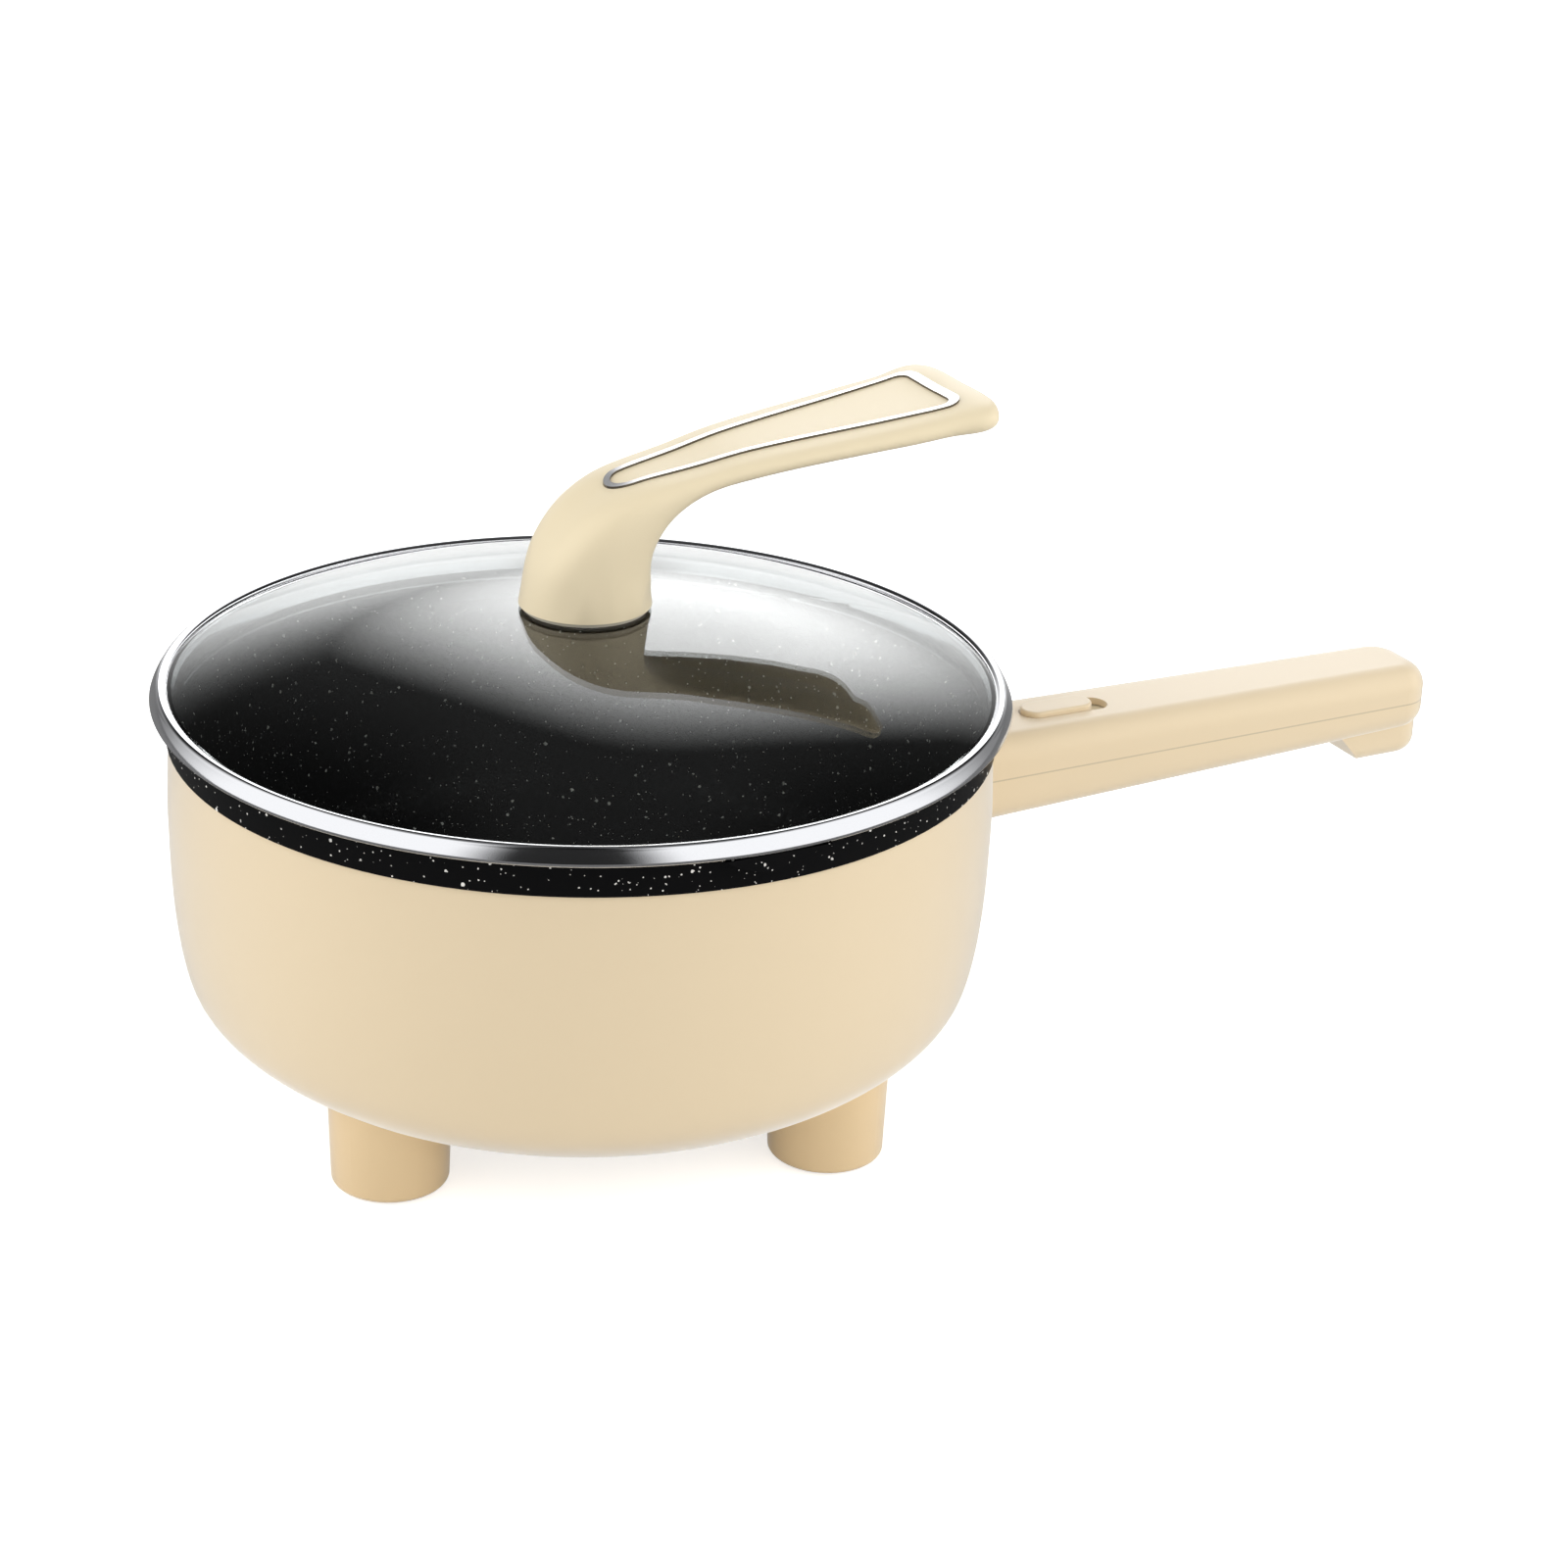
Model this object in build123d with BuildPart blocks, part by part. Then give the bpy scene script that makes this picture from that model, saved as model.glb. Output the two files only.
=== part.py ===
from build123d import *
import os
from math import cos, pi, radians, sin, sqrt

# Electric multicooker: a round pot in a moulded housing on four legs, with one long handle
# that holds the slide switch and the power inlet, and a loose glass lid with a raised handle.
# Frame: origin on the pot's axis at floor level, +X towards the main handle's end, +Z up.
# All sizes are in millimetres.

# Driving sizes: the pot and housing, how high they stand, and the two handles' reach
housing_top_radius = 127.0
housing_top_height = 118.3
housing_base_height = 10.4
pot_floor_height = 36.0
handle_length = 215.0
lid_arm_setback = 1.1

# Housing
housing_wall = 2.6
housing_belly_swell = 1.0
housing_belly_drop = 30.3
housing_knee_draw = 2.4
housing_knee_rise = 35.6
housing_corner_width = 72.0
corner_power = 1.83
corner_steps = 6
housing_belly_radius = housing_top_radius + housing_belly_swell
housing_belly_height = housing_top_height - housing_belly_drop
housing_knee_radius = housing_top_radius - housing_knee_draw
housing_knee_height = housing_base_height + housing_knee_rise
housing_base_radius = housing_knee_radius - housing_corner_width
floor_inside_height = housing_base_height + housing_wall

# Base cover, let into the housing's flat underside
cover_margin = 4.6
cover_radius = housing_base_radius - cover_margin
cover_thickness = 2.0
cover_fit = 0.3
ledge_width = 5.0
ledge_thickness = 2.6
cover_ledge_radius = cover_radius + cover_fit - ledge_width
cover_top_height = housing_base_height + cover_thickness
vent_count = 8
vent_circle_radius = 22.0
vent_length = 12.0
vent_width = 2.4

# Legs
leg_count = 4
leg_inset = 32.0
leg_circle_radius = housing_top_radius - leg_inset
leg_azimuth = 28.5
leg_bottom_radius = 17.8
leg_flare = 1.6
leg_edge_radius = 2.0
leg_core_height = 10.0
leg_wall = 5.2
leg_boss_radius = 4.5
pad_radius = 13.5
pad_thickness = 2.6
pad_stand_out = 0.6
pad_fit = 0.3
leg_seat_radius = 5.0
leg_seat_rise = 14.6
leg_seat_height = housing_base_height + leg_seat_rise

# Screws
leg_screw_radius = 1.45
leg_screw_length = 16.0
leg_screw_head_radius = 3.2
leg_screw_head_height = 2.2
base_screw_radius = 1.5
base_screw_length = 9.0
base_screw_head_radius = 3.2
base_screw_head_height = 1.8
thread_clearance = 0.05
passage_clearance = 0.3
screw_tip_room = 1.0

# Inner pot: its band sits on the housing's rim and its side hangs clear of the housing's wall
pot_band_step = 0.9
pot_band_radius = housing_top_radius + pot_band_step
pot_band_height = 10.3
pot_rim_height = housing_top_height + pot_band_height
pot_band_wall = 2.7
pot_band_bore = pot_band_radius - pot_band_wall
pot_hang_gap = 1.8
pot_shoulder_radius = housing_top_radius - housing_wall - pot_hang_gap
pot_side_draw = 4.6
pot_side_radius = pot_shoulder_radius - pot_side_draw
pot_corner_radius = 30.0
pot_wall = 2.4
pot_bottom_height = pot_floor_height - pot_wall
pot_step_height = 3.2
pot_rim_edge = 0.9
spout_width = 27.0
spout_depth = 3.6
spout_lip_thickness = 1.8
spout_reach = 3.2

# Heating plate, tube and the parts under them
plate_radius = 78.0
plate_thickness = 8.0
plate_bottom_height = pot_bottom_height - plate_thickness
tube_inset = 16.0
tube_circle_radius = plate_radius - tube_inset
tube_radius = 3.3
tube_cover = 3.7
tube_height = plate_bottom_height + tube_cover
tube_gap_angle = 18.0
tube_fit = 0.15
tube_drop = 7.9
terminal_radius = 1.5
terminal_length = 5.0
insulator_radius = 2.6
insulator_height = 1.6
pillar_count = 3
pillar_circle_radius = 36.0
pillar_azimuth = 60.0
pillar_foot_radius = 4.5
pillar_neck_radius = 3.0
shield_drop = 4.1
shield_height = plate_bottom_height - shield_drop
shield_thickness = 0.5
shield_overhang = 6.0
shield_radius = plate_radius + shield_overhang
shield_rim_height = 8.0
shield_hole_radius = 23.0
shield_fit = 0.3
shield_gate_width = 64.0
shield_gate_inset = 12.0
shield_gate_start = tube_circle_radius - shield_gate_inset
thermostat_radius = 8.0
thermostat_height = 6.4
clamp_width = 8.0
clamp_thickness = 0.9
clamp_half_span = 11.0
clamp_foot_length = 10.0
clamp_screw_radius = 1.2
clamp_screw_depth = 4.3
clamp_head_radius = 2.6
clamp_head_height = 1.6
clamp_screw_inset = 4.5
fuse_radius = 1.7
fuse_length = 14.0
fuse_offset = 28.0
fuse_gap = 0.1

# Main handle, sloping a little towards its end
handle_root_depth = 23.0
handle_root = housing_belly_radius - handle_root_depth
handle_end = handle_root + handle_length
handle_drop = 22.1
handle_root_depth_of_section = 30.9
handle_end_depth_of_section = 22.7
handle_end_dip = 1.8
handle_root_top = housing_top_height - handle_drop
handle_end_top = handle_root_top - handle_end_dip
handle_root_bottom = handle_root_top - handle_root_depth_of_section
handle_end_bottom = handle_end_top - handle_end_depth_of_section
handle_root_half_width = 19.3
handle_end_half_width = 16.5
handle_edge_radius = 8.0
handle_end_corner = 12.0
handle_wall = 2.4
handle_root_wall = 4.0
handle_seam_drop = 13.9
handle_seam_height = handle_root_top - handle_seam_drop
socket_bulge_length = 35.7
socket_bulge_ramp = 9.5
socket_bulge_depth = 10.4
socket_bulge_half_width = 13.5
socket_bulge_corner = 10.0
socket_bulge_edge = 6.0
socket_bulge_setback = 0.8
socket_bulge_end = handle_end - socket_bulge_setback
socket_bulge_start = socket_bulge_end - socket_bulge_length
socket_bulge_bottom = handle_end_bottom - socket_bulge_depth

# Slide switch in the main handle
slot_from_root = 55.0
slot_start = handle_root + slot_from_root
slot_length = 33.0
slot_width = 10.8
switch_travel = 6.0
button_clearance = 0.35
button_rise = 2.0
button_edge = 0.9
carrier_thickness = 1.5
carrier_gap = 0.5
carrier_side = 2.4
carrier_lap = 1.2
switch_body_length = 36.0
switch_body_width = 16.0
switch_body_height = 12.8
switch_running_gap = 0.3
toggle_length = 6.0
toggle_width = 4.4
toggle_height = 4.0
blade_width = 4.0
blade_thickness = 0.8
blade_drop = 6.0
blade_spacing = 12.0
rib_width = 2.5
rib_half_length = 6.0

# Power inlet at the main handle's end
inlet_width = 19.0
inlet_height = 16.0
inlet_corner = 6.0
inlet_wall = 1.8
inlet_length = 22.0
inlet_back = 4.0
inlet_floor = 2.7
inlet_centre_height = socket_bulge_bottom + inlet_floor + inlet_height / 2
inlet_face_setback = 3.7
inlet_fit = 0.1
pin_radius = 2.0
pin_length = 18.5
pin_recess = 4.7
pin_half_spacing = 5.0
pin_drop = 2.2
earth_pin_rise = 3.2
pin_room = 5.0

# Fixing of the main handle
mount_screw_drop = 8.7
mount_screw_height = handle_root_top - mount_screw_drop
mount_screw_offset = 9.5
mount_screw_radius = 1.6
mount_screw_length = 11.5
mount_head_radius = 3.0
mount_head_height = 2.0
mount_plate_thickness = 2.0
mount_plate_width = 27.0
mount_plate_height = 7.0
cable_hole_radius = 6.5
cable_hole_drop = 20.2
cable_hole_height = handle_root_top - cable_hole_drop
cover_boss_radius = 3.6
cover_screw_from_slot = 12.0
cover_screw_from_end = 65.0
cover_screw_places = (slot_start - cover_screw_from_slot, handle_end - cover_screw_from_end)
cover_screw_radius = 1.3
cover_screw_length = 14.0
cover_head_radius = 2.6
cover_head_height = 1.8
cover_seat_rise = 7.7
cover_seat_height = handle_root_bottom + cover_seat_rise
boss_relief = 0.1

# Internal leads
lead_radius = 1.1
lead_spacing = 4.5
lead_wall_gap = 4.2
lead_drop_radius = housing_belly_radius - housing_wall - lead_wall_gap
lead_bend = 2.2
lead_contact_gap = 0.1
lead_turn_gap = 0.2
lead_side_gap = 0.6
lead_floor_gap = 2.6
lead_step = 2.0
lead_spread_run = 20.0
switch_lead_run = 14.0
switch_lead_exit = 4.0
boss_lead_gap = 2.8
load_lead_dip = 1.0
neutral_lead_run = 8.0
neutral_lead_rise = 0.4
root_lead_run = 6.0
knee_lead_rise = 6.0
floor_lead_inset = 17.0
floor_lead_drop = 16.0
terminal_lead_run = 22.0
terminal_lead_rise = 2.4
terminal_lead_drop = 1.8
earth_lift_run = 8.0
earth_lift_side = 0.4
earth_lift_rise = 1.4
earth_spread_run = 26.0
earth_spread_gap = 3.0
earth_spread_rise = 5.4
earth_pass_run = 12.0
earth_pass_gap = 3.2
earth_pass_rise = 3.0
earth_hole_run = 2.0
earth_hole_gap = 1.6
earth_hole_rise = 0.4
stud_lead_run = 18.0
stud_lead_side = 2.0
stud_lead_rise = 1.0
earth_stud_place = (66.0, 28.0)
earth_stud_radius = 2.0
earth_stud_length = 4.5

# Lid: a glass dome in a rolled steel rim that stands over the pot's band
lid_overhang = 4.6
lid_radius = pot_band_radius + lid_overhang
lid_seat_gap = 0.1
lid_seat_height = pot_rim_height + lid_seat_gap
lid_bead_height = 6.0
lid_crest_height = lid_seat_height + lid_bead_height
lid_crest_inset = 2.1
lid_crest_radius = lid_radius - lid_crest_inset
lid_bead_side_height = 2.9
lid_bead_foot_inset = 2.9
lid_bead_foot_radius = lid_radius - lid_bead_foot_inset
lid_lip_inset = 6.3
lid_lip_radius = lid_radius - lid_lip_inset
lid_lip_drop = 0.35
skirt_clearance = 0.5
skirt_radius = pot_band_bore - skirt_clearance
skirt_draw = 1.3
skirt_tip_radius = skirt_radius - skirt_draw
skirt_depth = 3.4
skirt_thickness = 0.8
glass_edge_inset = 3.9
glass_radius = lid_radius - glass_edge_inset
glass_thickness = 3.2
glass_crown = 23.0
glass_apex_height = lid_crest_height + glass_crown
glass_edge_rise = 0.8
glass_rise = glass_crown + glass_edge_rise
crown_radius = (lid_lip_radius**2 + glass_rise**2) / (2 * glass_rise)
glass_fit = 0.1
glass_hole_radius = 5.0
gasket_thickness = 0.8
gasket_radius = 19.3
washer_radius = 12.0
washer_thickness = 1.1
lid_plate_thickness = 1.2
lid_screw_radius = 2.45
lid_screw_length = 19.0
lid_screw_head_radius = 5.0
lid_screw_head_height = 2.5
lid_base_height = glass_apex_height + gasket_thickness

# Lid handle: a round neck that bends over into a wide flat arm above the glass
lid_neck_radius = 20.5
lid_neck_pull = 47.3
lid_bend_out = 52.0
lid_bend_rise = 40.2
lid_arm_reach = lid_radius - lid_arm_setback
lid_arm_rise = 51.9
lid_arm_half_thickness = 4.7
lid_bend_half_thickness = 3.2
lid_bend_length = 59.1
lid_waist_half_width = 18.6
lid_waist_distance = 53.8
lid_arm_half_width = 27.3
lid_tip_length = 5.0
lid_tip_corner = 16.0
lid_tip_half_thickness = 1.4
lid_arm_power = 8.8
lid_square_length = 54.2
lid_bend_lead = 0.84
lid_arm_swell = 3.0
lid_arm_spread = 1.5
lid_section_points = 20
lid_section_count = 14
lid_tip_section_count = 3
insert_radius = 4.5
insert_length = 12.0
insert_depth = 1.0
insert_fit = 0.05
trim_nose_reach = 6.2
trim_nose_radius = 7.2
trim_middle_reach = 60.0
trim_middle_half_width = 12.0
trim_end_margin = 10.4
trim_end_reach = lid_arm_reach - trim_end_margin
trim_end_half_width = 17.9
trim_corner_radius = 5.7
trim_band = 2.0
trim_end_band = 3.4
trim_rise = 0.7
trim_bed = 0.8
trim_fit = 0.05


def housing_side(inset):
    """Points from the edge of the flat base up the housing's side to its rim, moved inwards by inset."""
    corner_width = housing_knee_radius - housing_base_radius - inset
    corner_height = housing_knee_height - housing_base_height - inset
    points = []
    for step in range(corner_steps):
        angle = radians(90 * step / corner_steps)
        across = sin(angle) ** (2 / corner_power)
        down = cos(angle) ** (2 / corner_power)
        reach = housing_base_radius + corner_width * across
        points.append((reach, housing_knee_height - corner_height * down))
    points.append((housing_knee_radius - inset, housing_knee_height))
    points.append((housing_belly_radius - inset, housing_belly_height))
    points.append((housing_top_radius - inset, housing_top_height))
    return points


rim_direction = (2 * (housing_top_radius - housing_belly_radius), housing_top_height - housing_belly_height)

# The housing's outer form, filled, to trim what stands against it
with BuildPart() as housing_form:
    with BuildSketch(Plane.XZ):
        with BuildLine():
            form_side = Spline(*housing_side(0), tangents=[(1, 0), rim_direction])
            Polyline(form_side @ 1, (0, housing_top_height), (0, housing_base_height), form_side @ 0)
        make_face()
    revolve(axis=Axis.Z)

# Seats for the leg screws, kept inside the housing's skin
with BuildPart() as leg_seats:
    with BuildSketch(Plane.XY.offset(housing_base_height)):
        with PolarLocations(leg_circle_radius, leg_count, leg_azimuth):
            Circle(leg_seat_radius)
    extrude(amount=leg_seat_height - housing_base_height)
    add(housing_form.part, mode=Mode.INTERSECT)

# Housing
with BuildPart() as housing:
    with BuildSketch(Plane.XZ):
        with BuildLine():
            outer_side = Spline(*housing_side(0), tangents=[(1, 0), rim_direction])
            inner_side = Spline(*housing_side(housing_wall), tangents=[(1, 0), rim_direction])
            Line(outer_side @ 1, inner_side @ 1)
            Polyline(
                outer_side @ 0,
                (cover_ledge_radius, housing_base_height),
                (cover_ledge_radius, floor_inside_height),
                inner_side @ 0,
            )
        make_face()
    revolve(axis=Axis.Z)
    with BuildSketch(Plane.XY.offset(housing_base_height)):
        Circle(cover_radius + ledge_width / 2)
        Circle(cover_ledge_radius, mode=Mode.SUBTRACT)
    extrude(amount=cover_thickness + ledge_thickness)
    with BuildSketch(Plane.XY.offset(housing_base_height)):
        Circle(cover_radius + cover_fit)
    extrude(amount=cover_thickness, mode=Mode.SUBTRACT)
    add(leg_seats.part)
    with BuildSketch(Plane.XY):
        with PolarLocations(leg_circle_radius, leg_count, leg_azimuth):
            Circle(leg_screw_radius + passage_clearance)
    extrude(amount=leg_seat_height, mode=Mode.SUBTRACT)
    with BuildSketch(Plane.YZ.offset(handle_root)):
        with Locations((0, cable_hole_height)):
            Circle(cable_hole_radius)
        with Locations(
            (-mount_screw_offset, mount_screw_height),
            (mount_screw_offset, mount_screw_height),
        ):
            Circle(mount_screw_radius + passage_clearance)
    extrude(amount=housing_belly_radius - handle_root + handle_wall, mode=Mode.SUBTRACT)

# Base cover
with BuildPart() as base_cover:
    with BuildSketch(Plane.XY.offset(housing_base_height)):
        Circle(cover_radius)
        with PolarLocations(pillar_circle_radius, pillar_count, pillar_azimuth):
            Circle(base_screw_radius + passage_clearance, mode=Mode.SUBTRACT)
        with PolarLocations(vent_circle_radius, vent_count):
            SlotOverall(vent_length, vent_width, mode=Mode.SUBTRACT)
    extrude(amount=cover_thickness)

# Legs, each with its pad
legs = []
pads = []
for leg_index in range(leg_count):
    leg_angle = radians(leg_azimuth + 360 * leg_index / leg_count)
    leg_plane = Plane(
        origin=(leg_circle_radius * cos(leg_angle), leg_circle_radius * sin(leg_angle), 0),
        x_dir=(cos(leg_angle), sin(leg_angle), 0),
        z_dir=(0, 0, 1),
    )
    with BuildPart() as leg:
        with BuildSketch(leg_plane.offset(pad_stand_out)):
            Circle(leg_bottom_radius)
        extrude(amount=housing_knee_height - pad_stand_out, taper=-leg_flare)
        fillet(leg.edges().group_by(Axis.Z)[0], leg_edge_radius)
        add(housing_form.part, mode=Mode.SUBTRACT)
        with BuildSketch(leg_plane):
            Circle(pad_radius + pad_fit)
        extrude(amount=pad_thickness, mode=Mode.SUBTRACT)
        with BuildSketch(leg_plane.offset(pad_thickness)):
            Circle(leg_bottom_radius - leg_wall)
            Circle(leg_boss_radius, mode=Mode.SUBTRACT)
        extrude(amount=leg_core_height - pad_thickness, mode=Mode.SUBTRACT)
        with BuildSketch(leg_plane.offset(leg_seat_height - leg_screw_length - screw_tip_room)):
            Circle(leg_screw_radius + thread_clearance)
        extrude(amount=leg_screw_length, mode=Mode.SUBTRACT)
    legs.append(leg.part)
    with BuildPart() as pad:
        with BuildSketch(leg_plane):
            Circle(pad_radius)
        extrude(amount=pad_thickness)
    pads.append(pad.part)

# Leg screws, from inside the housing down into the legs
with BuildPart() as leg_screws:
    with BuildSketch(Plane.XY.offset(leg_seat_height - leg_screw_length)):
        with PolarLocations(leg_circle_radius, leg_count, leg_azimuth):
            Circle(leg_screw_radius)
    extrude(amount=leg_screw_length)
    with BuildSketch(Plane.XY.offset(leg_seat_height)):
        with PolarLocations(leg_circle_radius, leg_count, leg_azimuth):
            Circle(leg_screw_head_radius)
    extrude(amount=leg_screw_head_height)

# Inner pot: a band that sits on the housing's rim, a side that hangs inside it, and a rounded bottom
corner_centre_height = pot_bottom_height + pot_corner_radius
corner_centre_radius = pot_side_radius - pot_corner_radius
inner_corner = pot_corner_radius - pot_wall
spout_radius = ((spout_width / 2) ** 2 + spout_depth**2) / (2 * spout_depth)
spout_centre_height = pot_rim_height - spout_depth + spout_radius
with BuildPart() as inner_pot:
    with BuildSketch(Plane.XZ):
        with BuildLine():
            Polyline(
                (0, pot_floor_height),
                (0, pot_bottom_height),
                (corner_centre_radius, pot_bottom_height),
            )
            RadiusArc(
                (corner_centre_radius, pot_bottom_height),
                (pot_side_radius, corner_centre_height),
                -pot_corner_radius,
            )
            Polyline(
                (pot_side_radius, corner_centre_height),
                (pot_shoulder_radius, housing_top_height),
                (pot_band_radius, housing_top_height),
                (pot_band_radius, pot_rim_height),
                (pot_band_bore, pot_rim_height),
                (pot_band_bore, housing_top_height + pot_step_height),
                (pot_shoulder_radius - pot_wall, housing_top_height - pot_wall),
                (pot_side_radius - pot_wall, corner_centre_height),
            )
            RadiusArc(
                (pot_side_radius - pot_wall, corner_centre_height),
                (corner_centre_radius, pot_floor_height),
                inner_corner,
            )
            Line((corner_centre_radius, pot_floor_height), (0, pot_floor_height))
        make_face()
    revolve(axis=Axis.Z)
    fillet(inner_pot.edges().group_by(Axis.Z)[-1], pot_rim_edge)
    with BuildSketch(Plane.XZ.offset(pot_band_bore)):
        with Locations((0, spout_centre_height)):
            Circle(spout_radius + spout_lip_thickness)
        with Locations((0, pot_rim_height)):
            Rectangle(
                3 * spout_radius,
                3 * spout_radius,
                align=(Align.CENTER, Align.MIN),
                mode=Mode.SUBTRACT,
            )
    extrude(amount=pot_band_wall + spout_reach)
    with BuildSketch(Plane.XZ.offset(pot_side_radius)):
        with Locations((0, spout_centre_height)):
            Circle(spout_radius)
    extrude(amount=2 * pot_band_wall + 2 * spout_reach, mode=Mode.SUBTRACT)

# Heating plate with its groove for the tube
clamp_screw_reach = clamp_half_span + clamp_foot_length - clamp_screw_inset
with BuildPart() as heating_plate:
    with BuildSketch(Plane.XY.offset(plate_bottom_height)):
        Circle(plate_radius)
    extrude(amount=plate_thickness)
    with BuildSketch(Plane.XZ):
        with Locations((tube_circle_radius, tube_height)):
            Circle(tube_radius + tube_fit)
            Rectangle(
                2 * (tube_radius + tube_fit),
                2 * tube_cover,
                align=(Align.CENTER, Align.MAX),
            )
    revolve(axis=Axis.Z, mode=Mode.SUBTRACT)
    with BuildSketch(Plane.XY.offset(plate_bottom_height)):
        with Locations((-clamp_screw_reach, 0), (clamp_screw_reach, 0)):
            Circle(clamp_screw_radius + thread_clearance)
    extrude(amount=clamp_screw_depth + screw_tip_room, mode=Mode.SUBTRACT)

# Heater tube, nearly a full ring, with its two ends turned down
tube_end_angle = radians(tube_gap_angle / 2)
tube_end_places = [
    (tube_circle_radius * cos(tube_end_angle), tube_circle_radius * sin(tube_end_angle)),
    (tube_circle_radius * cos(tube_end_angle), -tube_circle_radius * sin(tube_end_angle)),
]
tube_start_plane = Plane(
    origin=(0, 0, 0),
    x_dir=(cos(tube_end_angle), sin(tube_end_angle), 0),
    z_dir=(sin(tube_end_angle), -cos(tube_end_angle), 0),
)
tube_end_height = tube_height - tube_drop
with BuildPart() as heater_tube:
    with BuildSketch(tube_start_plane):
        with Locations((tube_circle_radius, tube_height)):
            Circle(tube_radius)
    revolve(axis=Axis.Z, revolution_arc=360 - tube_gap_angle)
    with Locations(*[(place[0], place[1], tube_height) for place in tube_end_places]):
        Sphere(tube_radius)
    with BuildSketch(Plane.XY.offset(tube_end_height)):
        with Locations(*tube_end_places):
            Circle(tube_radius)
    extrude(amount=tube_drop)

# Insulators that close the tube's ends, and the terminals through them
insulator_bottom = tube_end_height - insulator_height
with BuildPart() as heater_insulators:
    with BuildSketch(Plane.XY.offset(insulator_bottom)):
        with Locations(*tube_end_places):
            Circle(insulator_radius)
            Circle(terminal_radius + thread_clearance, mode=Mode.SUBTRACT)
    extrude(amount=insulator_height)

with BuildPart() as heater_terminals:
    with BuildSketch(Plane.XY.offset(tube_end_height - terminal_length)):
        with Locations(*tube_end_places):
            Circle(terminal_radius)
    extrude(amount=terminal_length)

# Pillars that tie the heating plate to the base cover
with BuildPart() as base_pillars:
    with BuildSketch(Plane.XY.offset(cover_top_height)):
        with PolarLocations(pillar_circle_radius, pillar_count, pillar_azimuth):
            Circle(pillar_foot_radius)
    extrude(amount=shield_height - cover_top_height)
    with BuildSketch(Plane.XY.offset(shield_height)):
        with PolarLocations(pillar_circle_radius, pillar_count, pillar_azimuth):
            Circle(pillar_neck_radius)
    extrude(amount=plate_bottom_height - shield_height)
    with BuildSketch(Plane.XY.offset(cover_top_height)):
        with PolarLocations(pillar_circle_radius, pillar_count, pillar_azimuth):
            Circle(base_screw_radius + thread_clearance)
    extrude(amount=base_screw_length, mode=Mode.SUBTRACT)

with BuildPart() as base_screws:
    with BuildSketch(Plane.XY.offset(housing_base_height - base_screw_head_height)):
        with PolarLocations(pillar_circle_radius, pillar_count, pillar_azimuth):
            Circle(base_screw_head_radius)
    extrude(amount=base_screw_head_height)
    with BuildSketch(Plane.XY.offset(housing_base_height)):
        with PolarLocations(pillar_circle_radius, pillar_count, pillar_azimuth):
            Circle(base_screw_radius)
    extrude(amount=base_screw_length)

# Heat shield: a thin dish between the heating plate and the housing's floor
with BuildPart() as heat_shield:
    with BuildSketch(Plane.XY.offset(shield_height)):
        Circle(shield_radius)
    extrude(amount=shield_rim_height)
    with BuildSketch(Plane.XY.offset(shield_height + shield_thickness)):
        Circle(shield_radius - shield_thickness)
    extrude(amount=shield_rim_height, mode=Mode.SUBTRACT)
    with BuildSketch(Plane.XY.offset(shield_height)):
        Circle(shield_hole_radius)
        with PolarLocations(pillar_circle_radius, pillar_count, pillar_azimuth):
            Circle(pillar_neck_radius + shield_fit)
        with Locations((shield_gate_start, 0)):
            Rectangle(shield_radius, shield_gate_width, align=(Align.MIN, Align.CENTER))
    extrude(amount=shield_rim_height, mode=Mode.SUBTRACT)

# Thermostat under the plate's middle, and the strap that holds it up
thermostat_bottom = plate_bottom_height - thermostat_height
with BuildPart() as thermostat:
    with BuildSketch(Plane.XY.offset(thermostat_bottom)):
        Circle(thermostat_radius)
    extrude(amount=thermostat_height)

strap_bottom = thermostat_bottom - clamp_thickness
strap_foot_end = clamp_half_span + clamp_foot_length
strap_leg = clamp_half_span - clamp_thickness
with BuildPart() as thermostat_strap:
    with BuildSketch(Plane.XZ):
        with BuildLine():
            Polyline(
                (-strap_foot_end, plate_bottom_height),
                (-strap_leg, plate_bottom_height),
                (-strap_leg, thermostat_bottom),
                (strap_leg, thermostat_bottom),
                (strap_leg, plate_bottom_height),
                (strap_foot_end, plate_bottom_height),
                (strap_foot_end, plate_bottom_height - clamp_thickness),
                (clamp_half_span, plate_bottom_height - clamp_thickness),
                (clamp_half_span, strap_bottom),
                (-clamp_half_span, strap_bottom),
                (-clamp_half_span, plate_bottom_height - clamp_thickness),
                (-strap_foot_end, plate_bottom_height - clamp_thickness),
                close=True,
            )
        make_face()
    extrude(amount=clamp_width / 2, both=True)
    with BuildSketch(Plane.XY.offset(strap_bottom)):
        with Locations((-clamp_screw_reach, 0), (clamp_screw_reach, 0)):
            Circle(clamp_screw_radius + passage_clearance)
    extrude(amount=plate_bottom_height - strap_bottom, mode=Mode.SUBTRACT)

strap_head_height = plate_bottom_height - clamp_thickness
with BuildPart() as strap_screws:
    with BuildSketch(Plane.XY.offset(strap_head_height - clamp_head_height)):
        with Locations((-clamp_screw_reach, 0), (clamp_screw_reach, 0)):
            Circle(clamp_head_radius)
    extrude(amount=clamp_head_height)
    with BuildSketch(Plane.XY.offset(strap_head_height)):
        with Locations((-clamp_screw_reach, 0), (clamp_screw_reach, 0)):
            Circle(clamp_screw_radius)
    extrude(amount=clamp_thickness + clamp_screw_depth)

# Thermal fuse, held against the plate
with BuildPart() as thermal_fuse:
    with BuildSketch(Plane.XZ):
        with Locations((-fuse_offset, plate_bottom_height - fuse_gap - fuse_radius)):
            Circle(fuse_radius)
    extrude(amount=fuse_length / 2, both=True)


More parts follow.
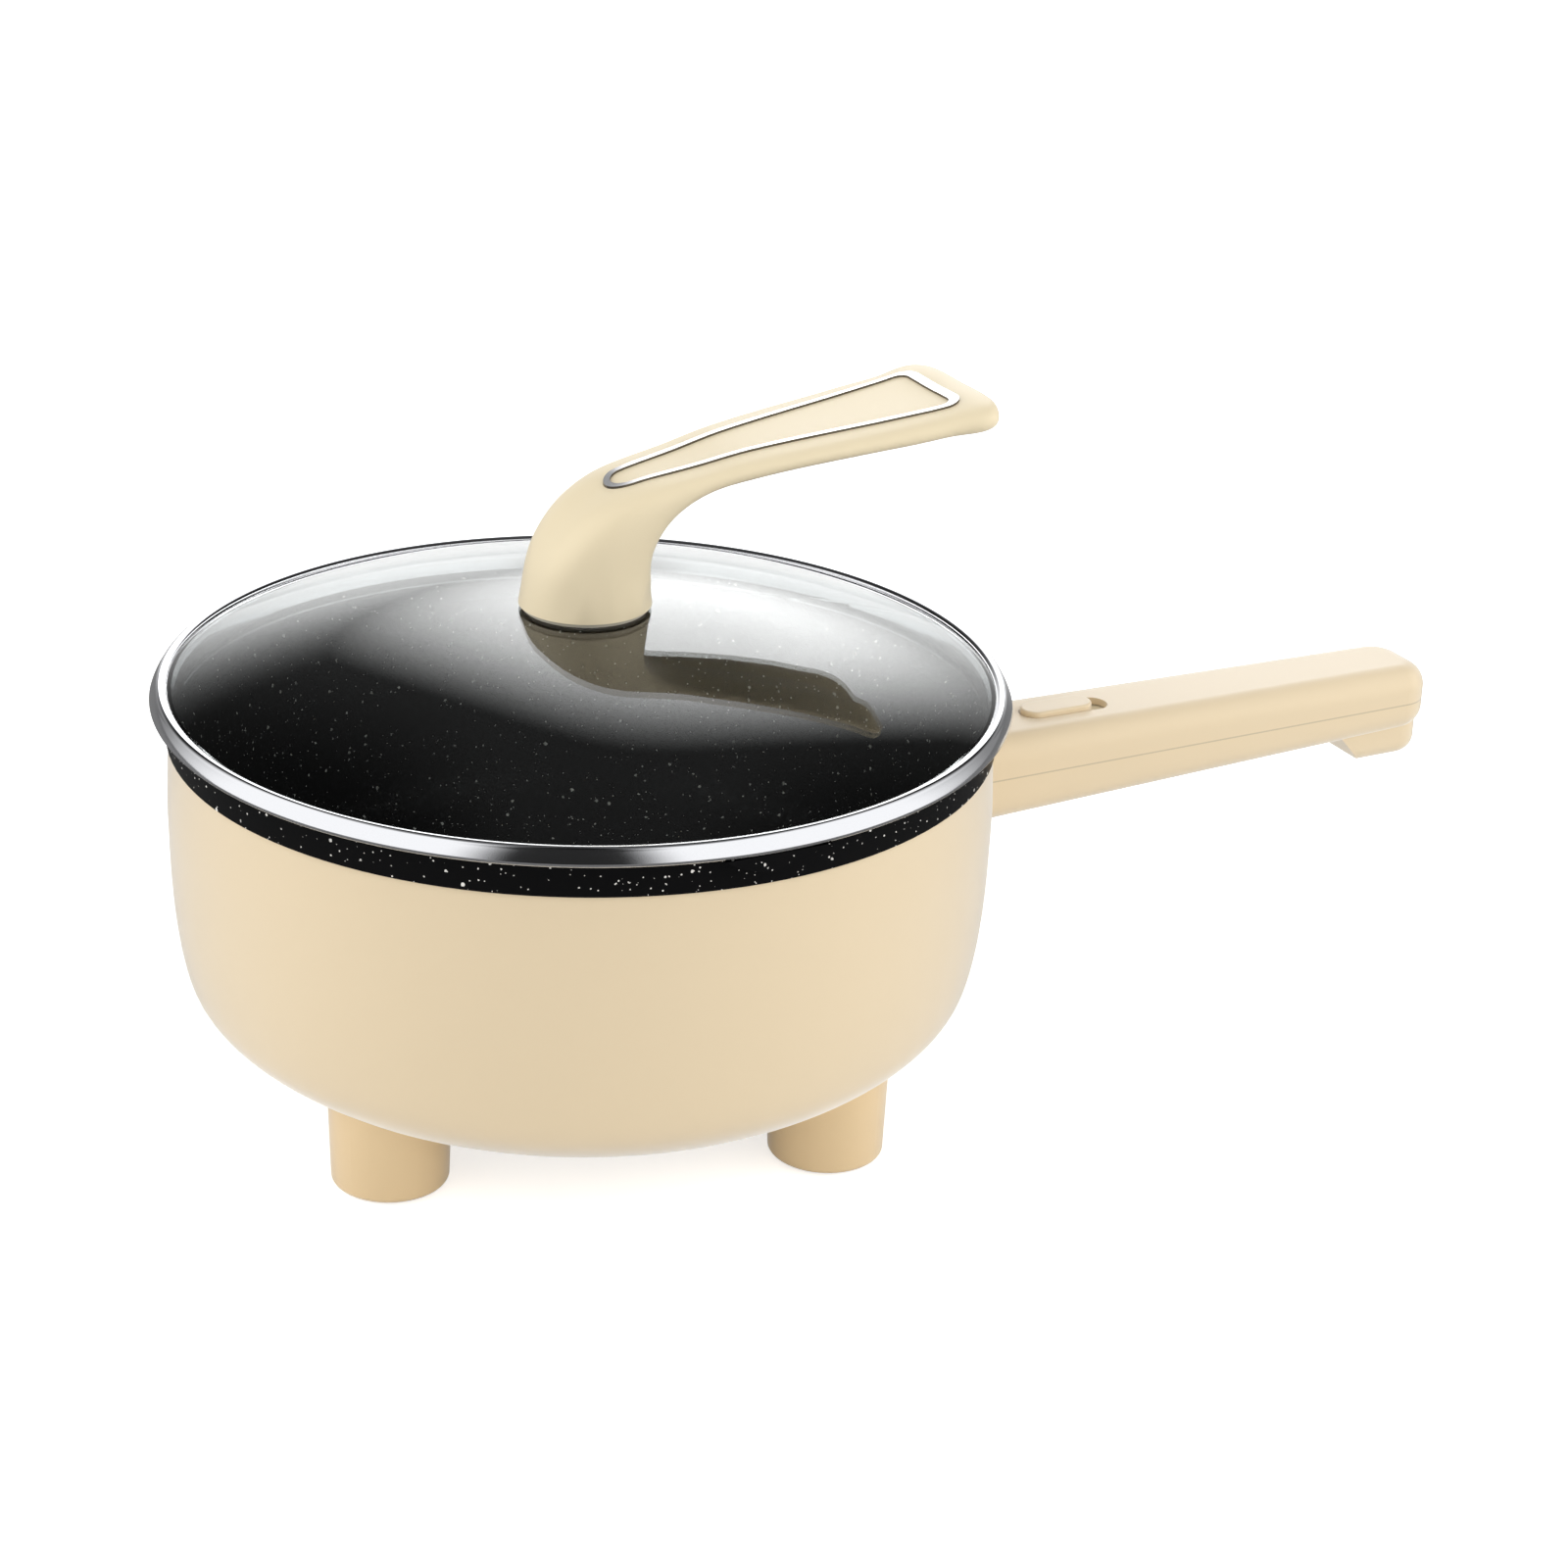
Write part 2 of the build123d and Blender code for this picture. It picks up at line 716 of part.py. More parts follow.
def handle_level(place, root_level, end_level):
    """Height of a sloping face of the main handle at a distance from the pot's axis."""
    share = (place - handle_root) / (handle_end - handle_root)
    return root_level + (end_level - root_level) * share


def handle_form(inset):
    """The main handle's form from its root to its end, moved inwards by inset."""
    end = handle_end - inset
    root_half = handle_root_half_width - inset
    end_half = handle_end_half_width - inset
    with BuildPart() as form:
        with BuildSketch(Plane.XY.offset(handle_root_bottom)) as plan:
            with BuildLine():
                Polyline(
                    (handle_root, -root_half),
                    (end, -end_half),
                    (end, end_half),
                    (handle_root, root_half),
                    close=True,
                )
            make_face()
            fillet(plan.vertices().group_by(Axis.X)[-1], handle_end_corner - inset)
        extrude(amount=handle_root_top - handle_root_bottom)
        with BuildSketch(Plane.XZ):
            with BuildLine():
                Polyline(
                    (handle_root, handle_root_bottom + inset),
                    (handle_end, handle_end_bottom + inset),
                    (handle_end, handle_end_top - inset),
                    (handle_root, handle_root_top - inset),
                    close=True,
                )
            make_face()
        extrude(amount=handle_root_half_width, both=True, mode=Mode.INTERSECT)
        fillet(
            form.faces().sort_by(Axis.Z)[0].edges() + form.faces().sort_by(Axis.Z)[-1].edges(),
            handle_edge_radius - inset,
        )
    return form.part


handle_cavity_start = housing_belly_radius + handle_root_wall
mount_plate_end = handle_cavity_start + mount_plate_thickness
handle_outside = handle_form(0)
slot_middle = slot_start + slot_length / 2
shell_top = handle_level(slot_middle, handle_root_top, handle_end_top)
shell_inside_top = shell_top - handle_wall
cover_screw_points = [(place, 0) for place in cover_screw_places]
mount_screw_points = [
    (-mount_screw_offset, mount_screw_height),
    (mount_screw_offset, mount_screw_height),
]

# The hollow inside the main handle, from its root wall to its end wall
with BuildPart() as handle_hollow:
    add(handle_form(handle_wall))
    split(bisect_by=Plane.YZ.offset(handle_cavity_start), keep=Keep.TOP)

# Bosses for the cover screws, and ribs under the switch, kept inside the handle's skin
carrier_top = shell_inside_top - carrier_gap
carrier_bottom = carrier_top - carrier_thickness
switch_body_start = slot_start
switch_body_end = switch_body_start + switch_body_length
switch_body_top = carrier_bottom - switch_running_gap
switch_body_bottom = switch_body_top - switch_body_height
with BuildPart() as cover_bosses:
    with BuildSketch(Plane.XY.offset(handle_root_bottom)):
        with Locations(*cover_screw_points):
            Circle(cover_boss_radius)
    extrude(amount=handle_root_top - handle_root_bottom)
    add(handle_outside, mode=Mode.INTERSECT)

with BuildPart() as switch_ribs:
    with BuildSketch(Plane.XY.offset(handle_root_bottom)):
        with Locations((switch_body_start + rib_width / 2, 0), (switch_body_end - rib_width / 2, 0)):
            Rectangle(rib_width, 2 * rib_half_length)
    extrude(amount=switch_body_bottom - handle_root_bottom)
    add(handle_outside, mode=Mode.INTERSECT)

# Main handle, upper shell: root wall, slot for the switch and bosses for the cover screws
screw_bore_top = cover_seat_height + cover_screw_length + screw_tip_room
with BuildPart() as handle_upper:
    add(handle_outside)
    add(handle_hollow.part, mode=Mode.SUBTRACT)
    add(cover_bosses.part)
    split(bisect_by=Plane.XY.offset(handle_seam_height), keep=Keep.TOP)
    add(housing_form.part, mode=Mode.SUBTRACT)
    with BuildSketch(Plane.XY.offset(handle_seam_height)):
        with Locations(*cover_screw_points):
            Circle(cover_screw_radius + thread_clearance)
    extrude(amount=screw_bore_top - handle_seam_height, mode=Mode.SUBTRACT)
    with BuildSketch(Plane.XY.offset(carrier_top)):
        with Locations((slot_middle, 0)):
            SlotOverall(slot_length, slot_width)
    extrude(amount=2 * handle_wall, mode=Mode.SUBTRACT)
    with BuildSketch(Plane.YZ.offset(handle_root)):
        with Locations((0, cable_hole_height)):
            Circle(cable_hole_radius)
        with Locations(*mount_screw_points):
            Circle(mount_screw_radius + passage_clearance)
    extrude(amount=mount_plate_end - handle_root, mode=Mode.SUBTRACT)

# Main handle, lower cover: swells down at its end round the power inlet
inlet_face = handle_end - inlet_face_setback
inlet_start = inlet_face - inlet_length
with BuildPart() as socket_bulge:
    with BuildSketch(Plane.XZ):
        with BuildLine():
            Polyline(
                (socket_bulge_start, inlet_centre_height),
                (socket_bulge_start + socket_bulge_ramp, socket_bulge_bottom),
                (socket_bulge_end, socket_bulge_bottom),
                (socket_bulge_end, handle_seam_height),
                (socket_bulge_start, handle_seam_height),
                close=True,
            )
        make_face()
    extrude(amount=socket_bulge_half_width, both=True)
    fillet(socket_bulge.edges().filter_by(Axis.Z).group_by(Axis.X)[-1], socket_bulge_corner)
    fillet(socket_bulge.faces().sort_by(Axis.Z)[0].edges(), socket_bulge_edge)

with BuildPart() as handle_lower:
    add(handle_outside)
    add(socket_bulge.part)
    add(handle_hollow.part, mode=Mode.SUBTRACT)
    add(cover_bosses.part)
    split(bisect_by=Plane.XY.offset(handle_seam_height), keep=Keep.BOTTOM)
    add(switch_ribs.part)
    add(housing_form.part, mode=Mode.SUBTRACT)
    with BuildSketch(Plane.XY.offset(handle_root_bottom)):
        with Locations(*cover_screw_points):
            Circle(cover_screw_radius + passage_clearance)
    extrude(amount=handle_seam_height - handle_root_bottom, mode=Mode.SUBTRACT)
    with BuildSketch(Plane.XY.offset(handle_root_bottom)):
        with Locations(*cover_screw_points):
            Circle(cover_head_radius + boss_relief)
    extrude(amount=cover_seat_height - handle_root_bottom, mode=Mode.SUBTRACT)
    with BuildSketch(Plane.YZ.offset(inlet_start - inlet_fit)):
        with Locations((0, inlet_centre_height)):
            RectangleRounded(
                inlet_width + 2 * inlet_fit,
                inlet_height + 2 * inlet_fit,
                inlet_corner + inlet_fit,
            )
    extrude(amount=2 * inlet_length, mode=Mode.SUBTRACT)
    with BuildSketch(Plane.YZ.offset(inlet_start - pin_room)):
        with Locations((0, inlet_centre_height)):
            RectangleRounded(
                inlet_width - 2 * inlet_wall,
                inlet_height - 2 * inlet_wall,
                inlet_corner - inlet_wall,
            )
    extrude(amount=pin_room, mode=Mode.SUBTRACT)
    with BuildSketch(Plane.YZ.offset(handle_root)):
        with Locations((0, cable_hole_height)):
            Circle(cable_hole_radius)
    extrude(amount=mount_plate_end - handle_root, mode=Mode.SUBTRACT)

# Cover screws, from below through the lower cover into the upper shell
with BuildPart() as cover_screws:
    with BuildSketch(Plane.XY.offset(cover_seat_height - cover_head_height)):
        with Locations(*cover_screw_points):
            Circle(cover_head_radius)
    extrude(amount=cover_head_height)
    with BuildSketch(Plane.XY.offset(cover_seat_height)):
        with Locations(*cover_screw_points):
            Circle(cover_screw_radius)
    extrude(amount=cover_screw_length)

# Mounting plate inside the handle's root, and the screws that pull the handle to the housing
mount_screw_start = (
    sqrt((housing_belly_radius - housing_wall) ** 2 - (mount_screw_offset + mount_head_radius) ** 2)
    - passage_clearance
)
with BuildPart() as mount_plate:
    with BuildSketch(Plane.YZ.offset(handle_cavity_start)):
        with Locations((0, mount_screw_height)):
            Rectangle(mount_plate_width, mount_plate_height)
        with Locations(*mount_screw_points):
            Circle(mount_screw_radius + thread_clearance, mode=Mode.SUBTRACT)
    extrude(amount=mount_plate_thickness)

with BuildPart() as mount_screws:
    with BuildSketch(Plane.YZ.offset(mount_screw_start - mount_head_height)):
        with Locations(*mount_screw_points):
            Circle(mount_head_radius)
    extrude(amount=mount_head_height)
    with BuildSketch(Plane.YZ.offset(mount_screw_start)):
        with Locations(*mount_screw_points):
            Circle(mount_screw_radius)
    extrude(amount=mount_screw_length)

# Slide switch: the button in the slot, the carrier under the shell with its toggle, and the body
button_start = slot_start + button_clearance
button_length = slot_length - switch_travel - 2 * button_clearance
button_width = slot_width - 2 * button_clearance
button_middle = button_start + button_length / 2
with BuildPart() as switch_button:
    with BuildSketch(Plane.XY.offset(carrier_top)):
        with Locations((button_middle, 0)):
            SlotOverall(button_length, button_width)
    extrude(amount=shell_top + button_rise - carrier_top)
    fillet(switch_button.faces().sort_by(Axis.Z)[-1].edges(), button_edge)

carrier_length = button_length + 2 * (switch_travel + carrier_lap)
with BuildPart() as switch_carrier:
    with BuildSketch(Plane.XY.offset(carrier_bottom)):
        with Locations((button_middle, 0)):
            Rectangle(carrier_length, slot_width + 2 * carrier_side)
    extrude(amount=carrier_thickness)
    with BuildSketch(Plane.XY.offset(carrier_bottom - toggle_height)):
        with Locations((button_middle, 0)):
            Rectangle(toggle_length, toggle_width)
    extrude(amount=toggle_height)

toggle_room = button_clearance + switch_running_gap
with BuildPart() as switch_body:
    with BuildSketch(Plane.XY.offset(switch_body_bottom)):
        with Locations((switch_body_start + switch_body_length / 2, 0)):
            Rectangle(switch_body_length, switch_body_width)
    extrude(amount=switch_body_height)
    with BuildSketch(Plane.XY.offset(carrier_bottom - toggle_height - switch_running_gap)):
        with Locations((button_middle + switch_travel / 2, 0)):
            Rectangle(
                toggle_length + switch_travel + 2 * toggle_room,
                toggle_width + 2 * toggle_room,
            )
    extrude(amount=toggle_height + switch_running_gap, mode=Mode.SUBTRACT)

blade_places = (
    switch_body_start + (switch_body_length - blade_spacing) / 2,
    switch_body_start + (switch_body_length + blade_spacing) / 2,
)
with BuildPart() as switch_blades:
    with BuildSketch(Plane.XY.offset(switch_body_bottom - blade_drop)):
        with Locations(*[(place, 0) for place in blade_places]):
            Rectangle(blade_width, blade_thickness)
    extrude(amount=blade_drop)

# Power inlet: an insulating sleeve open at the handle's end, and its three pins
pin_tip = inlet_face - pin_recess
pin_start = pin_tip - pin_length
pin_places = (
    (-pin_half_spacing, inlet_centre_height - pin_drop),
    (pin_half_spacing, inlet_centre_height - pin_drop),
    (0, inlet_centre_height + earth_pin_rise),
)
with BuildPart() as inlet_sleeve:
    with BuildSketch(Plane.YZ.offset(inlet_start)):
        with Locations((0, inlet_centre_height)):
            RectangleRounded(inlet_width, inlet_height, inlet_corner)
    extrude(amount=inlet_length)
    with BuildSketch(Plane.YZ.offset(inlet_start + inlet_back)):
        with Locations((0, inlet_centre_height)):
            RectangleRounded(
                inlet_width - 2 * inlet_wall,
                inlet_height - 2 * inlet_wall,
                inlet_corner - inlet_wall,
            )
    extrude(amount=inlet_length, mode=Mode.SUBTRACT)
    with BuildSketch(Plane.YZ.offset(inlet_start)):
        with Locations(*pin_places):
            Circle(pin_radius + thread_clearance)
    extrude(amount=inlet_back, mode=Mode.SUBTRACT)

with BuildPart() as inlet_pins:
    with BuildSketch(Plane.YZ.offset(pin_start)):
        with Locations(*pin_places):
            Circle(pin_radius)
    extrude(amount=pin_length)
    fillet(inlet_pins.edges().group_by(Axis.X)[-1], pin_radius / 2)


def lead(corners):
    """An insulated lead along straight runs joined by equal bends."""
    with BuildPart() as wire:
        with BuildLine() as route:
            FilletPolyline(*corners, radius=lead_bend)
        with BuildSketch(Plane(origin=route.line @ 0, z_dir=route.line % 0)):
            Circle(lead_radius)
        sweep()
    return wire.part


lead_side = switch_body_width / 2 + lead_radius + lead_side_gap
lead_height = handle_end_bottom + handle_wall + lead_floor_gap
pin_lead_start = pin_start - lead_contact_gap
pin_lead_turn = pin_lead_start - lead_bend - lead_turn_gap
switch_lead_height = switch_body_bottom - blade_drop / 2
terminal_lead_height = insulator_bottom - terminal_lead_drop
floor_reach = lead_drop_radius - floor_lead_inset
floor_height = housing_knee_height - floor_lead_drop
terminal_contact = terminal_radius + lead_contact_gap
stud_contact = earth_stud_radius + lead_contact_gap
stud_lead_height = plate_bottom_height - earth_stud_length / 2


def inside_housing(side):
    """Corners of a lead from the handle's cavity, down the housing's wall, to above its floor."""
    return [
        (handle_cavity_start + root_lead_run, side, cable_hole_height),
        (lead_drop_radius, side, cable_hole_height),
        (lead_drop_radius, side, housing_knee_height + knee_lead_rise),
        (floor_reach, side, floor_height),
    ]


# Supply lead, from a line pin to the switch
supply_lead = lead([
    (pin_lead_start, pin_half_spacing, inlet_centre_height - pin_drop),
    (pin_lead_turn, pin_half_spacing, inlet_centre_height - pin_drop),
    (pin_lead_turn, pin_half_spacing, lead_height + lead_step),
    (pin_lead_turn - lead_spread_run, lead_side, lead_height),
    (switch_body_end + switch_lead_run, lead_side, switch_lead_height),
    (blade_places[1], lead_side, switch_lead_height),
    (blade_places[1], blade_thickness / 2 + lead_contact_gap, switch_lead_height),
])

# Load lead, from the switch to a heater terminal
load_lead = lead([
    (blade_places[0], blade_thickness / 2 + lead_contact_gap, switch_lead_height),
    (blade_places[0], lead_side, switch_lead_height),
    (switch_body_start - switch_lead_exit, lead_side, switch_lead_height),
    (cover_screw_places[0], cover_boss_radius + boss_lead_gap, cable_hole_height - load_lead_dip),
    *inside_housing(0),
    (
        tube_end_places[0][0] + terminal_lead_run,
        tube_end_places[0][1],
        terminal_lead_height + terminal_lead_rise,
    ),
    (tube_end_places[0][0] + terminal_contact, tube_end_places[0][1], terminal_lead_height),
])

# Neutral lead, from the other line pin to the other heater terminal
neutral_lead = lead([
    (pin_lead_start, -pin_half_spacing, inlet_centre_height - pin_drop),
    (pin_lead_turn, -pin_half_spacing, inlet_centre_height - pin_drop),
    (pin_lead_turn, -pin_half_spacing, lead_height + lead_step),
    (pin_lead_turn - lead_spread_run, -lead_side, lead_height),
    (cover_screw_places[0] + neutral_lead_run, -lead_side, lead_height + neutral_lead_rise),
    *inside_housing(-lead_spacing),
    (
        tube_end_places[1][0] + terminal_lead_run,
        tube_end_places[1][1],
        terminal_lead_height + terminal_lead_rise,
    ),
    (tube_end_places[1][0] + terminal_contact, tube_end_places[1][1], terminal_lead_height),
])

# Earth lead, from the earth pin to a stud on the heating plate
with BuildPart() as earth_stud:
    with BuildSketch(Plane.XY.offset(plate_bottom_height - earth_stud_length)):
        with Locations(earth_stud_place):
            Circle(earth_stud_radius)
    extrude(amount=earth_stud_length)

earth_lead = lead([
    (pin_lead_start, 0, inlet_centre_height + earth_pin_rise),
    (pin_lead_turn, 0, inlet_centre_height + earth_pin_rise),
    (
        pin_lead_start - earth_lift_run,
        earth_lift_side,
        inlet_centre_height + earth_pin_rise + earth_lift_rise,
    ),
    (pin_lead_start - earth_spread_run, lead_side + earth_spread_gap, lead_height + earth_spread_rise),
    (cover_screw_places[0] + earth_pass_run, lead_side + earth_pass_gap, lead_height + earth_pass_rise),
    (
        cover_screw_places[0] - earth_hole_run,
        lead_side + earth_hole_gap,
        cable_hole_height + earth_hole_rise,
    ),
    *inside_housing(lead_spacing),
    (
        earth_stud_place[0] + stud_lead_run,
        earth_stud_place[1] - stud_lead_side,
        stud_lead_height + stud_lead_rise,
    ),
    (earth_stud_place[0] + stud_contact, earth_stud_place[1], stud_lead_height),
])


def crown_height(distance, drop):
    """Height of a sphere through the glass's top face, lowered by drop, at a distance from the axis."""
    return glass_apex_height - crown_radius + sqrt((crown_radius - drop) ** 2 - distance**2)


def glass_form(grow, bore):
    """The domed glass, grown all round by grow, with a bore in its middle."""
    rim = glass_radius + grow
    low = glass_thickness + grow
    with BuildPart() as form:
        with BuildSketch(Plane.XZ):
            with BuildLine():
                ThreePointArc(
                    (bore, crown_height(bore, -grow)),
                    (rim / 2, crown_height(rim / 2, -grow)),
                    (rim, crown_height(rim, -grow)),
                )
                Line((rim, crown_height(rim, -grow)), (rim, crown_height(rim, low)))
                ThreePointArc(
                    (rim, crown_height(rim, low)),
                    (rim / 2, crown_height(rim / 2, low)),
                    (bore, crown_height(bore, low)),
                )
                Line((bore, crown_height(bore, low)), (bore, crown_height(bore, -grow)))
            make_face()
        revolve(axis=Axis.Z)
    return form.part


with BuildPart() as lid_glass:
    add(glass_form(0, glass_hole_radius))

# Lid rim: a rolled bead round the glass, with a skirt that drops inside the pot
skirt_bottom = lid_seat_height - skirt_depth
with BuildPart() as lid_rim:
    with BuildSketch(Plane.XZ):
        with BuildLine():
            ThreePointArc(
                (lid_bead_foot_radius, lid_seat_height),
                (lid_radius, lid_seat_height + lid_bead_side_height),
                (lid_crest_radius, lid_crest_height),
            )
            Polyline(
                (lid_crest_radius, lid_crest_height),
                (lid_lip_radius, lid_crest_height - lid_lip_drop),
                (skirt_radius - skirt_thickness, lid_seat_height + skirt_thickness),
                (skirt_tip_radius - skirt_thickness, skirt_bottom),
                (skirt_tip_radius, skirt_bottom),
                (skirt_radius, lid_seat_height),
                (lid_bead_foot_radius, lid_seat_height),
            )
        make_face()
    revolve(axis=Axis.Z)
    add(glass_form(glass_fit, glass_hole_radius), mode=Mode.SUBTRACT)

# Gasket between the lid's handle and the glass, shaped to the dome
with BuildPart() as lid_gasket:
    with BuildSketch(Plane.XZ):
        with BuildLine():
            ThreePointArc(
                (glass_hole_radius, crown_height(glass_hole_radius, 0)),
                (gasket_radius / 2, crown_height(gasket_radius / 2, 0)),
                (gasket_radius, crown_height(gasket_radius, 0)),
            )
            Polyline(
                (gasket_radius, crown_height(gasket_radius, 0)),
                (gasket_radius, lid_base_height),
                (glass_hole_radius, lid_base_height),
                (glass_hole_radius, crown_height(glass_hole_radius, 0)),
            )
        make_face()
    revolve(axis=Axis.Z)

# Soft washer, steel plate and screw under the glass
washer_bottom = crown_height(washer_radius, glass_thickness) - washer_thickness
with BuildPart() as lid_washer:
    with BuildSketch(Plane.XZ):
        with BuildLine():
            ThreePointArc(
                (glass_hole_radius, crown_height(glass_hole_radius, glass_thickness)),
                (washer_radius / 2, crown_height(washer_radius / 2, glass_thickness)),
                (washer_radius, crown_height(washer_radius, glass_thickness)),
            )
            Polyline(
                (washer_radius, crown_height(washer_radius, glass_thickness)),
                (washer_radius, washer_bottom),
                (glass_hole_radius, washer_bottom),
                (glass_hole_radius, crown_height(glass_hole_radius, glass_thickness)),
            )
        make_face()
    revolve(axis=Axis.Z)

with BuildPart() as lid_plate:
    with BuildSketch(Plane.XY.offset(washer_bottom - lid_plate_thickness)):
        Circle(washer_radius)
        Circle(lid_screw_radius + passage_clearance, mode=Mode.SUBTRACT)
    extrude(amount=lid_plate_thickness)

lid_screw_seat = washer_bottom - lid_plate_thickness
with BuildPart() as lid_screw:
    with BuildSketch(Plane.XY.offset(lid_screw_seat - lid_screw_head_height)):
        Circle(lid_screw_head_radius)
    extrude(amount=lid_screw_head_height)
    fillet(lid_screw.edges().group_by(Axis.Z)[0], lid_screw_head_height / 3)
    with BuildSketch(Plane.XY.offset(lid_screw_seat)):
        Circle(lid_screw_radius)
    extrude(amount=lid_screw_length)

# The lid handle's middle line, up the neck, over the bend and out along the arm
lid_middle_poles = [
    (0, lid_base_height),
    (0, lid_base_height + lid_neck_pull),
    (lid_bend_out, lid_base_height + lid_bend_rise),
    (lid_arm_reach, lid_base_height + lid_arm_rise),
]
with BuildLine(Plane.XZ) as lid_path:
    Bezier(*lid_middle_poles)
lid_middle_line = lid_path.edges()[0]
lid_path_length = lid_middle_line.length


def eased(share):
    """A share from 0 to 1 with a level start and end."""
    return share * share * (3 - 2 * share)


def lid_section(distance, grow):
    """Closed section across the lid's handle at a distance along its middle line, grown by grow.

    It is a circle at the foot of the neck, and a wide bar with round sides in the arm.
    """
    bend_share = eased(min(distance / lid_bend_length, 1) ** lid_bend_lead)
    arm_share = max(0, (distance - lid_bend_length) / (lid_path_length - lid_bend_length))
    half_thickness = lid_neck_radius + (lid_bend_half_thickness - lid_neck_radius) * bend_share
    half_thickness += (lid_arm_half_thickness - lid_bend_half_thickness) * arm_share**lid_arm_swell
    if distance < lid_waist_distance:
        waist_share = eased(distance / lid_waist_distance)
        half_width = lid_neck_radius + (lid_waist_half_width - lid_neck_radius) * waist_share
    else:
        left = (lid_path_length - distance) / (lid_path_length - lid_waist_distance)
        spread = left**lid_arm_spread
        half_width = lid_arm_half_width + (lid_waist_half_width - lid_arm_half_width) * spread
    tip_share = max(0, (distance - lid_path_length + lid_tip_length) / lid_tip_length)
    roundness = sqrt(1 - min(tip_share, 1) ** 2)
    half_width -= lid_tip_corner * (1 - roundness)
    half_thickness -= (lid_arm_half_thickness - lid_tip_half_thickness) * (1 - roundness)
    side_power = 2 + (lid_arm_power - 2) * eased(min(distance / lid_square_length, 1))
    middle = lid_middle_line.position_at(distance, PositionMode.LENGTH)
    along = lid_middle_line.tangent_at(distance, PositionMode.LENGTH)
    plane = Plane(origin=middle, x_dir=(along.Z, 0, -along.X), z_dir=along)
    points = []
    for step in range(lid_section_points):
        angle = 2 * pi * step / lid_section_points
        across = abs(sin(angle)) ** (2 / side_power)
        side = 1 if angle < pi else -1
        points.append(((half_thickness + grow) * cos(angle), (half_width + grow) * side * across))
    with BuildSketch(plane) as section:
        with BuildLine():
            Spline(*points, periodic=True)
        make_face()
    return section.sketch


arm_end = lid_path_length - lid_tip_length
lid_distances = [arm_end * step / (lid_section_count - 1) for step in range(lid_section_count)]
lid_distances += [
    arm_end + lid_tip_length * sin(pi / 2 * step / lid_tip_section_count)
    for step in range(1, lid_tip_section_count + 1)
]


def lid_arm_form(grow):
    """The whole form of the lid's handle, grown by grow."""
    with BuildPart() as form:
        loft([lid_section(distance, grow) for distance in lid_distances])
    return form.part


# The side of the handle that faces up, above its middle line
with BuildPart() as lid_upper_side:
    with BuildSketch(Plane.XZ):
        with BuildLine():
            middle_line = Bezier(*lid_middle_poles)
            Polyline(
                middle_line @ 1,
                (lid_arm_reach, lid_base_height + 2 * lid_arm_rise),
                (-2 * lid_neck_radius, lid_base_height + 2 * lid_arm_rise),
                (-2 * lid_neck_radius, lid_base_height),
                middle_line @ 0,
            )
        make_face()
    extrude(amount=2 * lid_arm_half_width, both=True)


def trim_outline(side_inset, end_inset):
    """Long rounded wedge seen from above: a nose, a middle and two corner circles, hulled."""
    corner = trim_corner_radius - side_inset
    corner_reach = trim_end_reach - end_inset - corner
    corner_side = trim_end_half_width - trim_corner_radius
    with BuildSketch() as outline:
        with BuildLine() as circles:
            CenterArc((trim_nose_reach + trim_nose_radius, 0), trim_nose_radius - side_inset, 0, 360)
            CenterArc((trim_middle_reach, 0), trim_middle_half_width - side_inset, 0, 360)
            CenterArc((corner_reach, corner_side), corner, 0, 360)
            CenterArc((corner_reach, -corner_side), corner, 0, 360)
        make_hull(circles.edges())
    return outline.sketch_local


def trim_form(grow, rise, bed):
    """The raised frame on the arm, widened by grow, standing out by rise and let in by bed."""
    with BuildPart() as form:
        with BuildSketch(Plane.XY.offset(lid_base_height)):
            add(trim_outline(-grow, -grow))
            add(trim_outline(trim_band + grow, trim_end_band + grow), mode=Mode.SUBTRACT)
        extrude(amount=2 * lid_arm_rise)
        add(lid_arm_form(rise), mode=Mode.INTERSECT)
        add(lid_arm_form(-bed), mode=Mode.SUBTRACT)
        add(lid_upper_side.part, mode=Mode.INTERSECT)
    return form.part


with BuildPart() as lid_trim:
    add(trim_form(0, trim_rise, trim_bed - trim_fit))

with BuildPart() as lid_handle:
    add(lid_arm_form(0))
    add(trim_form(trim_fit, 2 * trim_rise, trim_bed), mode=Mode.SUBTRACT)
    with BuildSketch(Plane.XY.offset(lid_base_height)):
        Circle(insert_radius + insert_fit)
    extrude(amount=insert_depth + insert_length, mode=Mode.SUBTRACT)

# Threaded insert in the handle's neck, for the lid screw
with BuildPart() as lid_insert:
    with BuildSketch(Plane.XY.offset(lid_base_height + insert_depth)):
        Circle(insert_radius)
        Circle(lid_screw_radius + thread_clearance, mode=Mode.SUBTRACT)
    extrude(amount=insert_length)

